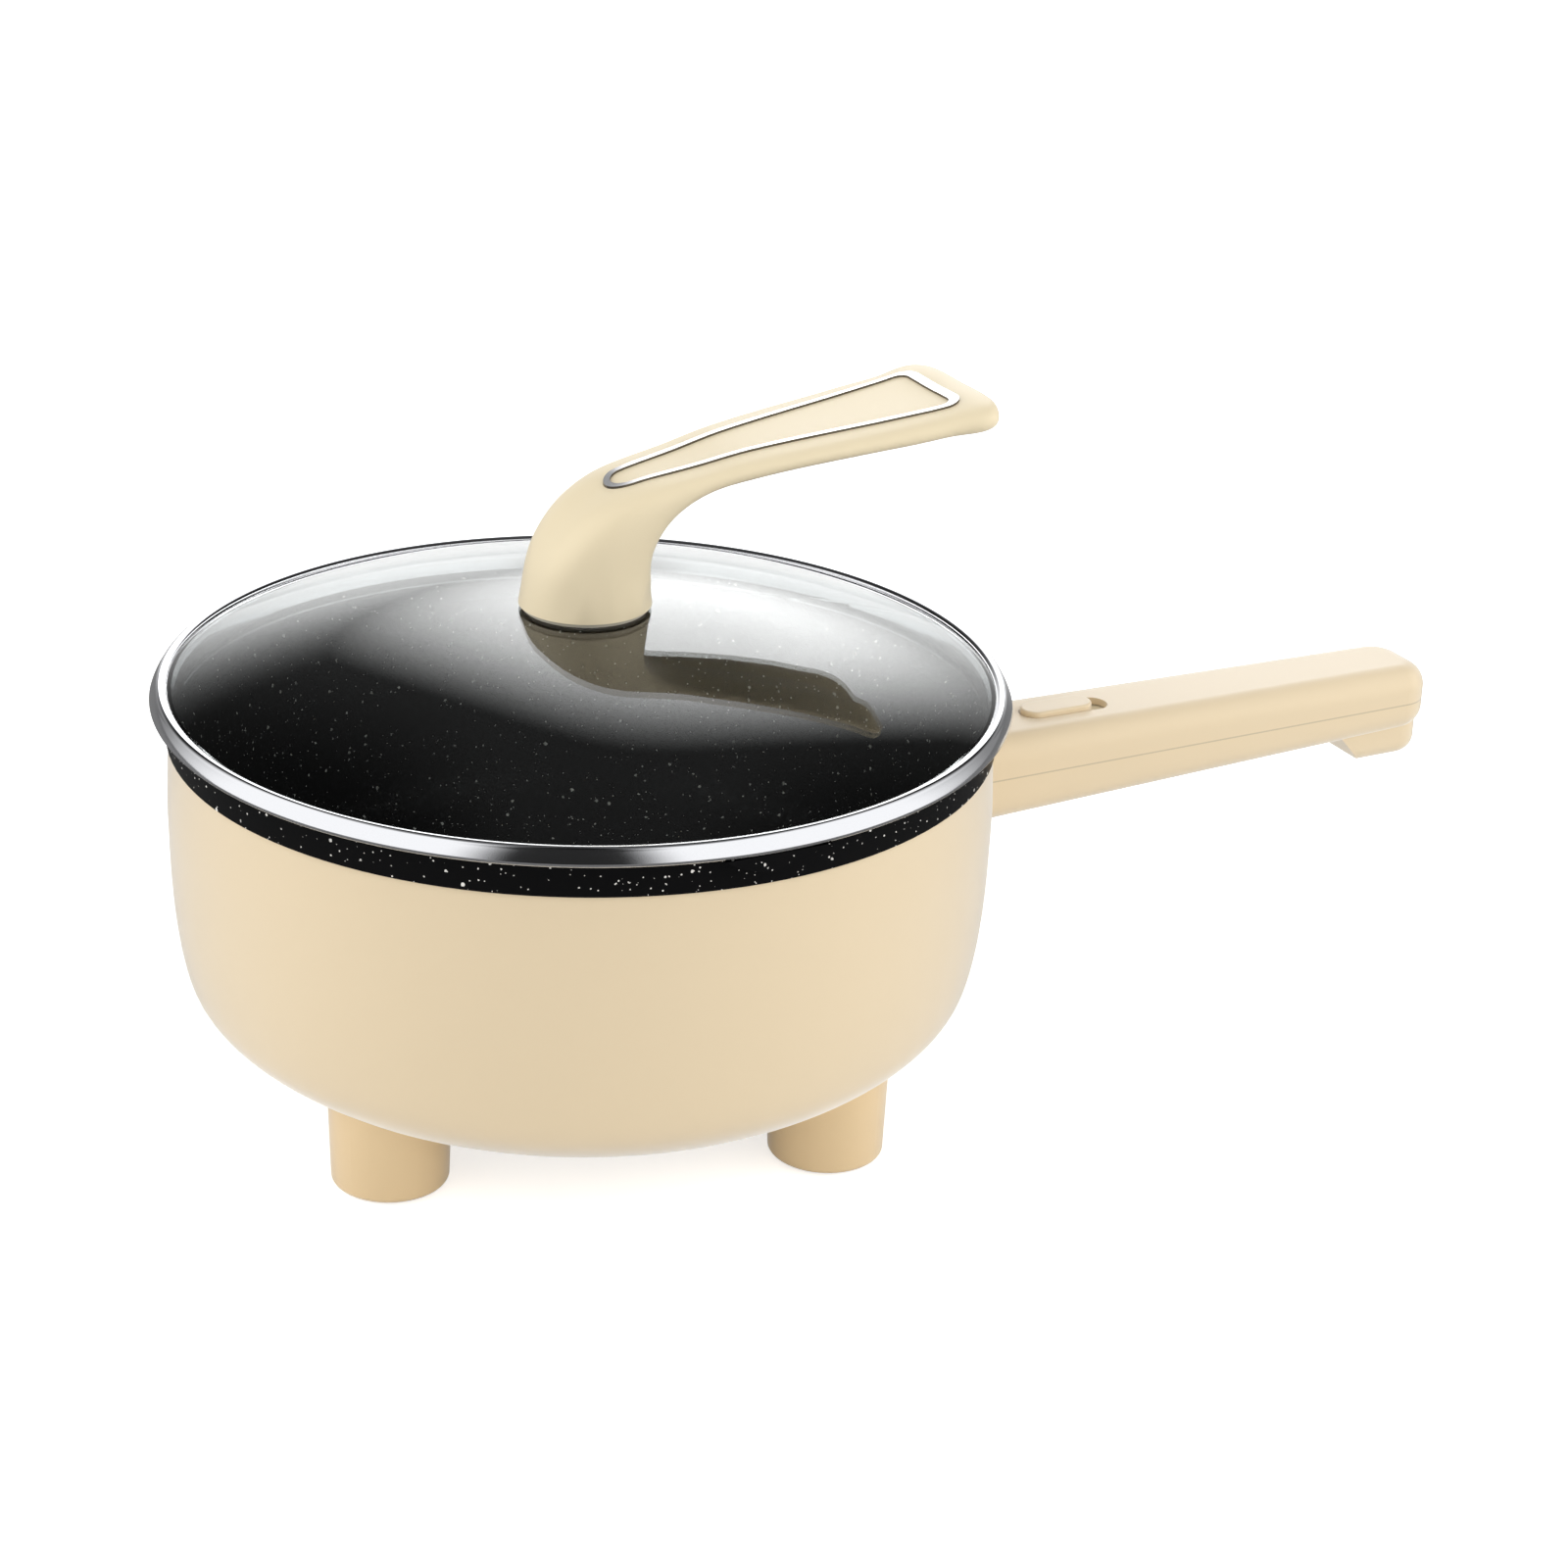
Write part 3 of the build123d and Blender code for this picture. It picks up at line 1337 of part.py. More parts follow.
nodes = {
    "housing": housing.part,
    "base_cover": base_cover.part,
    "base_screws": base_screws.part,
    "leg_screws": leg_screws.part,
    "base_pillars": base_pillars.part,
    "inner_pot": inner_pot.part,
    "heating_plate": heating_plate.part,
    "heater_tube": heater_tube.part,
    "heater_insulators": heater_insulators.part,
    "heater_terminals": heater_terminals.part,
    "heat_shield": heat_shield.part,
    "thermostat": thermostat.part,
    "thermostat_strap": thermostat_strap.part,
    "strap_screws": strap_screws.part,
    "thermal_fuse": thermal_fuse.part,
    "earth_stud": earth_stud.part,
    "handle_upper": handle_upper.part,
    "handle_lower": handle_lower.part,
    "cover_screws": cover_screws.part,
    "mount_plate": mount_plate.part,
    "mount_screws": mount_screws.part,
    "switch_button": switch_button.part,
    "switch_carrier": switch_carrier.part,
    "switch_body": switch_body.part,
    "switch_blades": switch_blades.part,
    "inlet_sleeve": inlet_sleeve.part,
    "inlet_pins": inlet_pins.part,
    "supply_lead": supply_lead,
    "load_lead": load_lead,
    "neutral_lead": neutral_lead,
    "earth_lead": earth_lead,
    "lid_glass": lid_glass.part,
    "lid_rim": lid_rim.part,
    "lid_gasket": lid_gasket.part,
    "lid_washer": lid_washer.part,
    "lid_plate": lid_plate.part,
    "lid_screw": lid_screw.part,
    "lid_insert": lid_insert.part,
    "lid_handle": lid_handle.part,
    "lid_trim": lid_trim.part,
}
for leg_index in range(leg_count):
    nodes[f"leg_{leg_index + 1}"] = legs[leg_index]
    nodes[f"leg_pad_{leg_index + 1}"] = pads[leg_index]

os.makedirs("parts", exist_ok=True)
for node_name, node_part in nodes.items():
    node_part.label = node_name
    export_step(node_part, f"parts/{node_name}.step")
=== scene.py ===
"""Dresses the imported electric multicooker: moulded shells, speckled pot, glass lid and stage."""

from math import atan2, cos, pi, radians, sin, sqrt

import bmesh
import bpy
from bpy.props import FloatProperty, FloatVectorProperty, PointerProperty
from bpy.types import Operator, Panel, PropertyGroup
from mathutils import Matrix, Vector


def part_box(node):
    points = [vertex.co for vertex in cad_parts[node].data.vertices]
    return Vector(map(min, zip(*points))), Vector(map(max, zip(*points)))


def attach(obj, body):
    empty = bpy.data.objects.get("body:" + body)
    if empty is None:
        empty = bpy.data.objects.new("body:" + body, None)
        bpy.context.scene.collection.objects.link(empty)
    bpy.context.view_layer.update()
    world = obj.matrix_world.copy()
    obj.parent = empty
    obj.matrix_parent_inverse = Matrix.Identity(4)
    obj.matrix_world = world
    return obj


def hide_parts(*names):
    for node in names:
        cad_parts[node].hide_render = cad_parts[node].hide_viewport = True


bl_info = {
    "name": "Multicooker dressing",
    "version": (1, 0, 0),
    "blender": (4, 5, 0),
    "location": "3D View > Sidebar > Multicooker",
    "description": "Finishes the pieces of an electric multicooker and sets it on a studio stage",
    "category": "Object",
}

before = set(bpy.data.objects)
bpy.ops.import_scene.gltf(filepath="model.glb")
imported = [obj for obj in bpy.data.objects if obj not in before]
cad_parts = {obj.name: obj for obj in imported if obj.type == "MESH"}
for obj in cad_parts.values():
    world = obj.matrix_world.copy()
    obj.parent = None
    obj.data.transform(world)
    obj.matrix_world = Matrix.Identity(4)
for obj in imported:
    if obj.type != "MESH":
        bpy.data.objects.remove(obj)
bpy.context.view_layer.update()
MM = 0.001

# Colours of the pieces that a user has no reason to change, as sRGB hex values.
# The step bead's pale grey is a painted glint on the pot's black coated edge.
STEP_GLINT_GREY = "B9BABC"
# The trim's brown-grey side colour is painted shade, the shadow in the groove beside the frame.
TRIM_SIDE_PAINTED_SHADE = "6E665A"
BRASS_TURNED = "C9A45A"
BRASS_STAMPED = "CDB070"
POLYAMIDE_DARK = "2A2826"
ACETAL_NATURAL = "EADDBC"
ZINC_PLATE = "B4B6B8"
ALUMINIUM_CAST = "A9AAAC"
HEATER_SHEATH = "8C8A86"
STEATITE = "E6E0D4"
PAPER = "F2F2F2"

# Patterns too broad to be a grain: how many of their swells there are to a metre.
COLOUR_DRIFT = 9.0
GLASS_WAVES = 14.0

# How much the patterns darken: the plastic's drift, as a part of its full shade, and that shade,
# the metal's marks and the rubber's powder as shares of the colour.
DRIFT_DEPTH = 0.06
SHADE_SHARE = 0.5
MARK_DEPTH = 0.06
POWDER_DEPTH = 0.12

# How far the roughness strays: added to the plastic's, and as a factor on the metal's.
SKIN_SHINE = 0.03
SKIN_DULLNESS = 0.05
MARKS_SHINE = 0.8
MARKS_DULLNESS = 1.25

# The parting line between the main handle's shells.
SEAM_WIDTH = 0.5 * MM
SEAM_DEPTH = 0.5

# The coating: the share of its cells that hold a fleck, a fleck's least and greatest reach as
# shares of its width, how far and how finely its outline wanders, and how strongly it shows.
FLECK_SHARE = 0.6
FLECK_LEAST = 0.15
FLECK_MOST = 0.62
FLECK_WANDER = 0.9
FLECK_OUTLINE = 0.8
FLECK_BOOST = 2.1

# Grain of the sprayed coating and of silicone, both coarser than the real ones so that they show.
SPRAY_GRAIN = 0.8 * MM
RUBBER_GRAIN = 0.6 * MM

# The bead along the pot's inner step: its radius, how far it lies under the rim and inside the
# band's bore, how far that bore lies inside the lid's rim, and the points and steps of its ring.
BEAD_RADIUS = 0.7 * MM
BEAD_DROP = 7.1 * MM
BEAD_INSET = 0.15 * MM
BORE_INSET = 7.3 * MM
BEAD_POINTS = 16
BEAD_SEGMENTS = 240

# The lid's rolled rim: its seat above its lower edge, and how far in from its outside its crest
# and both sides of the skirt's tip are.
RIM_SEAT = 3.4 * MM
CREST_INSET = 2.9 * MM
TIP_INSET = 9.1 * MM
INNER_TIP_INSET = 9.9 * MM
LIP_WIDTH = 2.5 * MM
LIP_DROP = 1.1 * MM
LIP_STEPS = 12
RIM_SEGMENTS = 288

# The studio. Angles are seen from above and count from the cooker's front, heights are the sine
# of the elevation, and each fade gives a range and the level at both its ends.
SMOOTH = {"interpolation_type": "SMOOTHSTEP"}
FLOOR_HALF_WIDTH = 6.0
FLOOR_GLOW = 0.64
FLOOR_MIRRORED = {"From_Min": radians(146), "From_Max": radians(169), "To_Min": 0.1, "To_Max": 0.7}
FLOOR_SHADE = 0.95
SIDE_WALLS = {"From_Min": radians(14), "From_Max": radians(32), "To_Min": 0.02, "To_Max": 1.0}
CEILING = {"From_Min": 0.72, "From_Max": 0.96, "To_Min": 1.3, "To_Max": 0.15}
BACKDROP = {"From_Min": 0.14, "From_Max": 0.45, "To_Min": 1.2, "To_Max": 0.1}
BACKDROP_FAN = {"From_Min": radians(146), "From_Max": radians(169), "To_Min": 0.25, "To_Max": 1.0}
BACK_OF_ROOM = {"From_Min": radians(95), "From_Max": radians(135)}
WINDOW_GLOW = {"From_Min": radians(7), "From_Max": radians(23), "To_Min": 3.1, "To_Max": 0.0}
WINDOW_ASIDE = radians(2)
WINDOW_ELEVATION = radians(25)
WINDOW_SQUASH = 0.8

# Lamps: name, metres to the right of the pot, away to its back and up, width in metres, watts.
LAMPS = (
    ("softbox_left", -1.5, 0.1, 0.5, 1.2, 8.5),
    ("softbox_right", 1.5, 0.1, 0.5, 1.2, 8.5),
    ("softbox_above", 0.0, 0.2, 1.8, 1.4, 7.5),
    ("softbox_front", 0.0, -2.0, 0.45, 0.9, 7.0),
)
LAMP_AIM = Vector((0, 0, 0.1))
SENSOR_WIDTH = 36


def linear(hex_colour):
    """An sRGB hex colour as a linear red, green, blue triple."""
    shares = [int(hex_colour[at:at + 2], 16) / 255 for at in (0, 2, 4)]
    return tuple(
        share / 12.92 if share <= 0.04045 else ((share + 0.055) / 1.055) ** 2.4
        for share in shares
    )


def colour_property(name, description, hex_colour):
    """A colour that a user can change, with its default as an sRGB hex value."""
    return FloatVectorProperty(
        name=name,
        description=description,
        subtype="COLOR",
        size=3,
        min=0,
        max=1,
        default=linear(hex_colour),
    )


def length_property(name, description, millimetres):
    """A length that a user can change, with its default in millimetres."""
    return FloatProperty(
        name=name,
        description=description,
        subtype="DISTANCE",
        unit="LENGTH",
        precision=5,
        default=millimetres * MM,
    )


class CookerColours(PropertyGroup):
    """Colours of the cooker's materials."""

    shell: colour_property("Shell", "Cream of the housing, the legs and the main handle", "E2CFAE")
    # The legs' deeper cream is painted shade, the warm shade under the housing.
    leg: colour_property("Legs", "Deeper cream of the legs under the housing", "E2C89E")
    lid_grip: colour_property("Lid handle", "Cream of the lid's handle", "E9DAB9")
    coating: colour_property("Coating", "Black of the pot's non-stick coating", "0B0B0C")
    fleck: colour_property("Flecks", "Pale mineral flecks in the coating", "E4E2DC")
    steel: colour_property("Stainless steel", "Rolled rim of the lid", "DEDFE2")
    chrome: colour_property("Chrome", "Trim frame in the lid's handle", "F2F2F4")
    glass: colour_property("Glass", "Tint of the lid's glass", "F4F8F7")
    silicone: colour_property("Silicone", "Gasket, washer and leg pads", "B9B2A2")
    sheath: colour_property("Lead sheath", "Insulation of the internal leads", "B8B2A8")


class CookerSizes(PropertyGroup):
    """Real sizes of the surface detail."""

    moulding_grain: length_property("Moulding grain", "Grain of the moulded plastic's skin", 0.5)
    fleck_spacing: length_property("Fleck spacing", "Mean distance between the flecks", 3.4)
    fleck_size: length_property("Fleck size", "Width of the coating's larger flecks", 1.0)


class CookerStudio(PropertyGroup):
    """Camera and lamps."""

    camera_place: FloatVectorProperty(
        name="Camera place",
        description="Where the camera stands",
        subtype="TRANSLATION",
        unit="LENGTH",
        default=(-0.4412, -0.9444, 0.5462),
    )
    azimuth: FloatProperty(
        name="Azimuth",
        description="Turn of the view from the pot's +Y axis towards its handle",
        subtype="ANGLE",
        default=radians(28.5),
    )
    elevation: FloatProperty(
        name="Elevation",
        description="How far the camera looks down",
        subtype="ANGLE",
        default=radians(23.2),
    )
    roll: FloatProperty(
        name="Roll",
        description="Turn of the camera about its own axis",
        subtype="ANGLE",
        default=radians(2.15),
    )
    lens: FloatProperty(
        name="Lens",
        description="Focal length on a sensor 36 mm wide",
        subtype="DISTANCE_CAMERA",
        default=83.25,
    )


def settings():
    """The cooker's property groups, kept on the scene."""
    return bpy.context.scene.cooker


def add_node(tree, kind, options=None, **inputs):
    """Adds a node, sets its options, and links or sets inputs, by name or as _ and a number."""
    node = tree.nodes.new(kind)
    for name, value in (options or {}).items():
        setattr(node, name, value)
    for name, value in inputs.items():
        numbered = name[1:].isdigit()
        socket = node.inputs[int(name[1:]) if numbered else name.replace("_", " ")]
        if isinstance(value, bpy.types.NodeSocket):
            tree.links.new(value, socket)
        else:
            socket.default_value = value
    return node


def start_material(name):
    """A new material with an empty node tree and its surface shader, which are returned with it."""
    material = bpy.data.materials.new(name)
    material.use_nodes = True
    tree = material.node_tree
    tree.nodes.clear()
    shader = tree.nodes.new("ShaderNodeBsdfPrincipled")
    output = tree.nodes.new("ShaderNodeOutputMaterial")
    tree.links.new(shader.outputs["BSDF"], output.inputs["Surface"])
    return material, tree, shader


def set_shader(shader, **values):
    """Sets constant values straight on the shader's own sockets."""
    for name, value in values.items():
        shader.inputs[name.replace("_", " ")].default_value = value


def place_texture(tree):
    """Coordinates in metres, fixed to the piece."""
    return add_node(tree, "ShaderNodeTexCoord").outputs["Object"]


def tinted(tree, colour, share, factor):
    """The colour, darkened by a share where the factor is high."""
    darker = [part * (1 - share) for part in colour]
    return add_node(
        tree,
        "ShaderNodeMix",
        {"data_type": "RGBA"},
        _0=factor,
        _6=(*colour, 1),
        _7=(*darker, 1),
    ).outputs[2]


def seam_line(tree, place, height):
    """Factor that is high on a thin parting line at one height."""
    level = add_node(tree, "ShaderNodeSeparateXYZ", Vector=place).outputs["Z"]
    line = add_node(
        tree,
        "ShaderNodeMath",
        {"operation": "COMPARE"},
        _0=level,
        _1=height,
        _2=SEAM_WIDTH / 2,
    ).outputs[0]
    return add_node(
        tree,
        "ShaderNodeMath",
        {"operation": "MULTIPLY"},
        _0=line,
        _1=SEAM_DEPTH,
    ).outputs[0]


def upward_facing(tree):
    """How far the piece's own surface faces up, as the height of its normal."""
    facing = add_node(tree, "ShaderNodeTexCoord").outputs["Normal"]
    return add_node(tree, "ShaderNodeSeparateXYZ", Vector=facing).outputs["Z"]


def moulded_plastic(name, colour, roughness, grain, seam=None, sheen=1.0):
    """Plastic from a polished mould: an even colour, a soft gloss and a very fine skin.

    A seam is the height of the line where two shells meet, and reads as a fine shadow. Sheen pales
    the colour at grazing angles, as the fine skin does. The drift keeps the colour from being flat.
    """
    material, tree, shader = start_material(name)
    place = place_texture(tree)
    drift = add_node(
        tree,
        "ShaderNodeTexNoise",
        Vector=place,
        Scale=COLOUR_DRIFT,
        Detail=2.0,
    ).outputs["Fac"]
    skin = add_node(
        tree,
        "ShaderNodeTexNoise",
        Vector=place,
        Scale=1 / grain,
        Detail=3.0,
    ).outputs["Fac"]
    bump = add_node(tree, "ShaderNodeBump", Height=skin, Strength=0.12, Distance=0.04 * MM)
    rough = add_node(
        tree,
        "ShaderNodeMapRange",
        Value=skin,
        To_Min=roughness - SKIN_SHINE,
        To_Max=roughness + SKIN_DULLNESS,
    )
    shade = add_node(
        tree,
        "ShaderNodeMath",
        {"operation": "MULTIPLY"},
        _0=drift,
        _1=DRIFT_DEPTH,
    ).outputs[0]
    if seam is not None:
        line = seam_line(tree, place, seam)
        shade = add_node(
            tree,
            "ShaderNodeMath",
            {"operation": "MAXIMUM"},
            _0=shade,
            _1=line,
        ).outputs[0]
    tree.links.new(tinted(tree, colour, SHADE_SHARE, shade), shader.inputs["Base Color"])
    tree.links.new(rough.outputs[0], shader.inputs["Roughness"])
    tree.links.new(bump.outputs[0], shader.inputs["Normal"])
    set_shader(shader, IOR=1.49, Specular_IOR_Level=0.25, Sheen_Weight=sheen, Sheen_Roughness=0.4)
    return material


def flecks(tree, place, spacing, size):
    """Factor that is 1 on scattered flecks, cell by cell, of uneven size and outline."""
    wander = size * FLECK_WANDER
    empty = 1 - FLECK_SHARE
    wobble = add_node(
        tree,
        "ShaderNodeTexNoise",
        Vector=place,
        Scale=FLECK_OUTLINE / size,
        Detail=2.0,
    )
    moved = add_node(
        tree,
        "ShaderNodeVectorMath",
        {"operation": "MULTIPLY_ADD"},
        _0=wobble.outputs["Color"],
        _1=(wander, wander, wander),
        _2=place,
    )
    cells = add_node(tree, "ShaderNodeTexVoronoi", Vector=moved.outputs[0], Scale=1 / spacing)
    draw = add_node(tree, "ShaderNodeSeparateColor", Color=cells.outputs["Color"])
    reach = add_node(
        tree,
        "ShaderNodeMapRange",
        Value=draw.outputs[0],
        From_Min=empty,
        From_Max=1.0,
        To_Min=FLECK_LEAST * size / spacing,
        To_Max=FLECK_MOST * size / spacing,
    ).outputs[0]
    inside = add_node(
        tree,
        "ShaderNodeMath",
        {"operation": "LESS_THAN"},
        _0=cells.outputs[0],
        _1=reach,
    ).outputs[0]
    chosen = add_node(
        tree,
        "ShaderNodeMath",
        {"operation": "GREATER_THAN"},
        _0=draw.outputs[0],
        _1=empty,
    ).outputs[0]
    return add_node(
        tree,
        "ShaderNodeMath",
        {"operation": "MULTIPLY"},
        _0=inside,
        _1=chosen,
    ).outputs[0]


def speckled_coating(name, colour, fleck_colour, spacing, size):
    """Sprayed non-stick coating: deep black with pale mineral flecks under a soft gloss.

    The pot's upright walls shine a little and its level floor stays matt.
    """
    material, tree, shader = start_material(name)
    place = place_texture(tree)
    coarse = flecks(tree, place, spacing, size)
    fine = flecks(tree, place, spacing / 2, size / 2)
    both = add_node(tree, "ShaderNodeMath", {"operation": "MAXIMUM"}, _0=coarse, _1=fine).outputs[0]
    shade = add_node(
        tree,
        "ShaderNodeTexNoise",
        Vector=place,
        Scale=1 / spacing,
        Detail=1.0,
    ).outputs["Fac"]
    drawn = add_node(
        tree,
        "ShaderNodeMath",
        {"operation": "MULTIPLY"},
        _0=both,
        _1=shade,
    ).outputs[0]
    boosted = add_node(tree, "ShaderNodeMath", {"operation": "MULTIPLY"}, _0=drawn, _1=FLECK_BOOST)
    blend = add_node(
        tree,
        "ShaderNodeMix",
        {"data_type": "RGBA"},
        _0=boosted.outputs[0],
        _6=(*colour, 1),
        _7=(*fleck_colour, 1),
    )
    spray = add_node(
        tree,
        "ShaderNodeTexNoise",
        Vector=place,
        Scale=1 / SPRAY_GRAIN,
        Detail=3.0,
    ).outputs["Fac"]
    bump = add_node(tree, "ShaderNodeBump", Height=spray, Strength=0.25, Distance=0.05 * MM)
    tree.links.new(blend.outputs[2], shader.inputs["Base Color"])
    tree.links.new(bump.outputs[0], shader.inputs["Normal"])
    gloss = add_node(
        tree,
        "ShaderNodeMapRange",
        Value=upward_facing(tree),
        From_Min=0.1,
        From_Max=0.75,
        To_Min=0.14,
        To_Max=0.0,
    )
    tree.links.new(gloss.outputs[0], shader.inputs["Specular IOR Level"])
    set_shader(shader, Roughness=0.4, IOR=1.45)
    return material


def worked_metal(name, colour, roughness, mark_spacing):
    """Metal with fine marks from its making, which break up its reflections a little."""
    material, tree, shader = start_material(name)
    place = place_texture(tree)
    marks = add_node(
        tree,
        "ShaderNodeTexNoise",
        Vector=place,
        Scale=1 / mark_spacing,
        Detail=3.0,
    ).outputs["Fac"]
    rough = add_node(
        tree,
        "ShaderNodeMapRange",
        Value=marks,
        To_Min=roughness * MARKS_SHINE,
        To_Max=roughness * MARKS_DULLNESS,
    )
    bump = add_node(tree, "ShaderNodeBump", Height=marks, Strength=0.1, Distance=0.03 * MM)
    tree.links.new(tinted(tree, colour, MARK_DEPTH, marks), shader.inputs["Base Color"])
    tree.links.new(rough.outputs[0], shader.inputs["Roughness"])
    tree.links.new(bump.outputs[0], shader.inputs["Normal"])
    set_shader(shader, Metallic=1.0)
    return material


def plated_trim(name, colour, painted_shade_colour):
    """Chromium plate whose partly diffuse white face is in part a painted reflection, and whose
    brown-grey sides are painted shade, where the groove beside the frame lies in shadow.
    """
    material, tree, shader = start_material(name)
    # Painted shade: faces that turn away from up take the darker side colour, as though in shadow.
    face = add_node(
        tree,
        "ShaderNodeMapRange",
        Value=upward_facing(tree),
        From_Min=0.3,
        From_Max=0.75,
    )
    plate_with_painted_shade = add_node(
        tree,
        "ShaderNodeMix",
        {"data_type": "RGBA"},
        _0=face.outputs[0],
        _6=(*painted_shade_colour, 1),
        _7=(*colour, 1),
    )
    tree.links.new(plate_with_painted_shade.outputs[2], shader.inputs["Base Color"])
    set_shader(shader, Metallic=0.7, Roughness=0.16)
    return material


def tempered_glass(name, colour):
    """Clear tempered soda-lime glass: sharp reflections, barely rippled, and a faint cool tint."""
    material, tree, shader = start_material(name)
    place = place_texture(tree)
    waves = add_node(
        tree,
        "ShaderNodeTexNoise",
        Vector=place,
        Scale=GLASS_WAVES,
        Detail=1.0,
    ).outputs["Fac"]
    bump = add_node(tree, "ShaderNodeBump", Height=waves, Strength=0.04, Distance=0.4 * MM)
    tree.links.new(bump.outputs[0], shader.inputs["Normal"])
    set_shader(
        shader,
        Base_Color=(*colour, 1),
        Roughness=0.0,
        IOR=1.5,
        Transmission_Weight=1.0,
    )
    return material


def moulded_rubber(name, colour):
    """Silicone, and fired ceramic, which looks like it: matt, with a powdery skin."""
    material, tree, shader = start_material(name)
    place = place_texture(tree)
    skin = add_node(
        tree,
        "ShaderNodeTexNoise",
        Vector=place,
        Scale=1 / RUBBER_GRAIN,
        Detail=3.0,
    ).outputs["Fac"]
    bump = add_node(tree, "ShaderNodeBump", Height=skin, Strength=0.2, Distance=0.05 * MM)
    tree.links.new(tinted(tree, colour, POWDER_DEPTH, skin), shader.inputs["Base Color"])
    tree.links.new(bump.outputs[0], shader.inputs["Normal"])
    set_shader(shader, Roughness=0.62, IOR=1.41)
    return material


def finish_nodes(material, *names):
    """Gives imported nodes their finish."""
    for name in names:
        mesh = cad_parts[name].data
        mesh.materials.clear()
        mesh.materials.append(material)
        for polygon in mesh.polygons:
            polygon.material_index = 0


class COOKER_OT_housing(Operator):
    """Finishes the moulded housing, its legs and its base cover"""

    bl_idname = "cooker.housing"
    bl_label = "Finish the housing"

    def execute(self, context):
        colours, sizes = settings().colours, settings().sizes
        grain = sizes.moulding_grain
        # Polypropylene from a polished mould: a satin cream, the same on shell and base.
        shell = moulded_plastic(
            "polypropylene_satin_moulded",
            tuple(colours.shell),
            roughness=0.4,
            grain=grain,
        )
        finish_nodes(shell, "housing", "base_cover")
        # The legs take a deeper, warmer copy of the shell's cream: painted shade, the warm shade
        # under the housing.
        leg = moulded_plastic(
            "polypropylene_leg_painted_shade",
            tuple(colours.leg),
            roughness=0.4,
            grain=grain,
        )
        finish_nodes(leg, *[f"leg_{number}" for number in range(1, 5)])
        return {"FINISHED"}


class COOKER_OT_pads(Operator):
    """Finishes the soft pads under the legs"""

    bl_idname = "cooker.pads"
    bl_label = "Finish the leg pads"

    def execute(self, context):
        # Silicone rubber: a matt grey-beige that grips the table.
        rubber = moulded_rubber("silicone_rubber_moulded", tuple(settings().colours.silicone))
        finish_nodes(rubber, *[f"leg_pad_{number}" for number in range(1, 5)])
        return {"FINISHED"}


def step_profile():
    """A fine bead, in section, along the pot's inner step under its band."""
    rim_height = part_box("inner_pot")[1][2]
    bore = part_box("lid_rim")[1][0] - BORE_INSET
    middle = Vector((bore - BEAD_INSET, rim_height - BEAD_DROP))
    turns = [2 * pi * step / BEAD_POINTS for step in range(BEAD_POINTS)]
    return [middle + BEAD_RADIUS * Vector((cos(turn), sin(turn))) for turn in turns]


class COOKER_OT_pot(Operator):
    """Finishes the coated pot and lays a pale metal bead, a painted glint, along its inner step"""

    bl_idname = "cooker.pot"
    bl_label = "Finish the pot"

    def execute(self, context):
        colours, sizes = settings().colours, settings().sizes
        coating = speckled_coating(
            "nonstick_coating_speckled",
            tuple(colours.coating),
            tuple(colours.fleck),
            sizes.fleck_spacing,
            sizes.fleck_size,
        )
        finish_nodes(coating, "inner_pot")
        # A pale metal bead on the step's coated edge is a painted glint: it stands in for the
        # highlight that the rounded black edge catches, and reads as a pale line.
        glint_metal = worked_metal(
            "coating_edge_painted_glint",
            linear(STEP_GLINT_GREY),
            roughness=0.22,
            mark_spacing=0.5 * MM,
        )
        turned_piece("pot_step_edge", step_profile(), BEAD_SEGMENTS, glint_metal, "cooker")
        return {"FINISHED"}


def arc_points(start, middle, end, count):
    """Points on the circle through three profile points, from the first to the last."""
    a, b, c = Vector(start), Vector(middle), Vector(end)
    ab, ac = b - a, c - a
    cross = 2 * (ab.x * ac.y - ab.y * ac.x)
    centre = a + Vector((
        (ac.y * ab.length_squared - ab.y * ac.length_squared) / cross,
        (ab.x * ac.length_squared - ac.x * ab.length_squared) / cross,
    ))
    radius = (a - centre).length
    first = atan2(a.y - centre.y, a.x - centre.x)
    last = atan2(c.y - centre.y, c.x - centre.x)
    between = atan2(b.y - centre.y, b.x - centre.x)
    while not min(first, last) <= between <= max(first, last):
        if last < first:
            last += 2 * pi
        else:
            first += 2 * pi
        if between < min(first, last):
            between += 2 * pi
    return [
        centre + radius * Vector((cos(angle), sin(angle)))
        for angle in (first + (last - first) * step / count for step in range(count + 1))
    ]


def rounded_corner(before, corner, after, radius, count):
    """Points that round a profile's corner, as a blend between its two sides."""
    corner = Vector(corner)
    start = corner + (Vector(before) - corner).normalized() * radius
    end = corner + (Vector(after) - corner).normalized() * radius
    return [
        (1 - share) ** 2 * start + 2 * share * (1 - share) * corner + share**2 * end
        for share in (step / count for step in range(count + 1))
    ]


def turned_piece(name, profile, segments, material, body):
    """A closed ring turned from a profile of radii and heights, smooth all round."""
    mesh = bpy.data.meshes.new(name)
    work = bmesh.new()
    rings = []
    for step in range(segments):
        angle = 2 * pi * step / segments
        rings.append([work.verts.new((r * cos(angle), r * sin(angle), z)) for r, z in profile])
    for step in range(segments):
        here, there = rings[step], rings[(step + 1) % segments]
        for at in range(len(profile)):
            after = (at + 1) % len(profile)
            work.faces.new((here[at], there[at], there[after], here[after]))
    bmesh.ops.recalc_face_normals(work, faces=work.faces)
    for face in work.faces:
        face.smooth = True
    work.to_mesh(mesh)
    work.free()
    piece = bpy.data.objects.new(name, mesh)
    bpy.context.scene.collection.objects.link(piece)
    mesh.materials.append(material)
    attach(piece, body)
    return piece


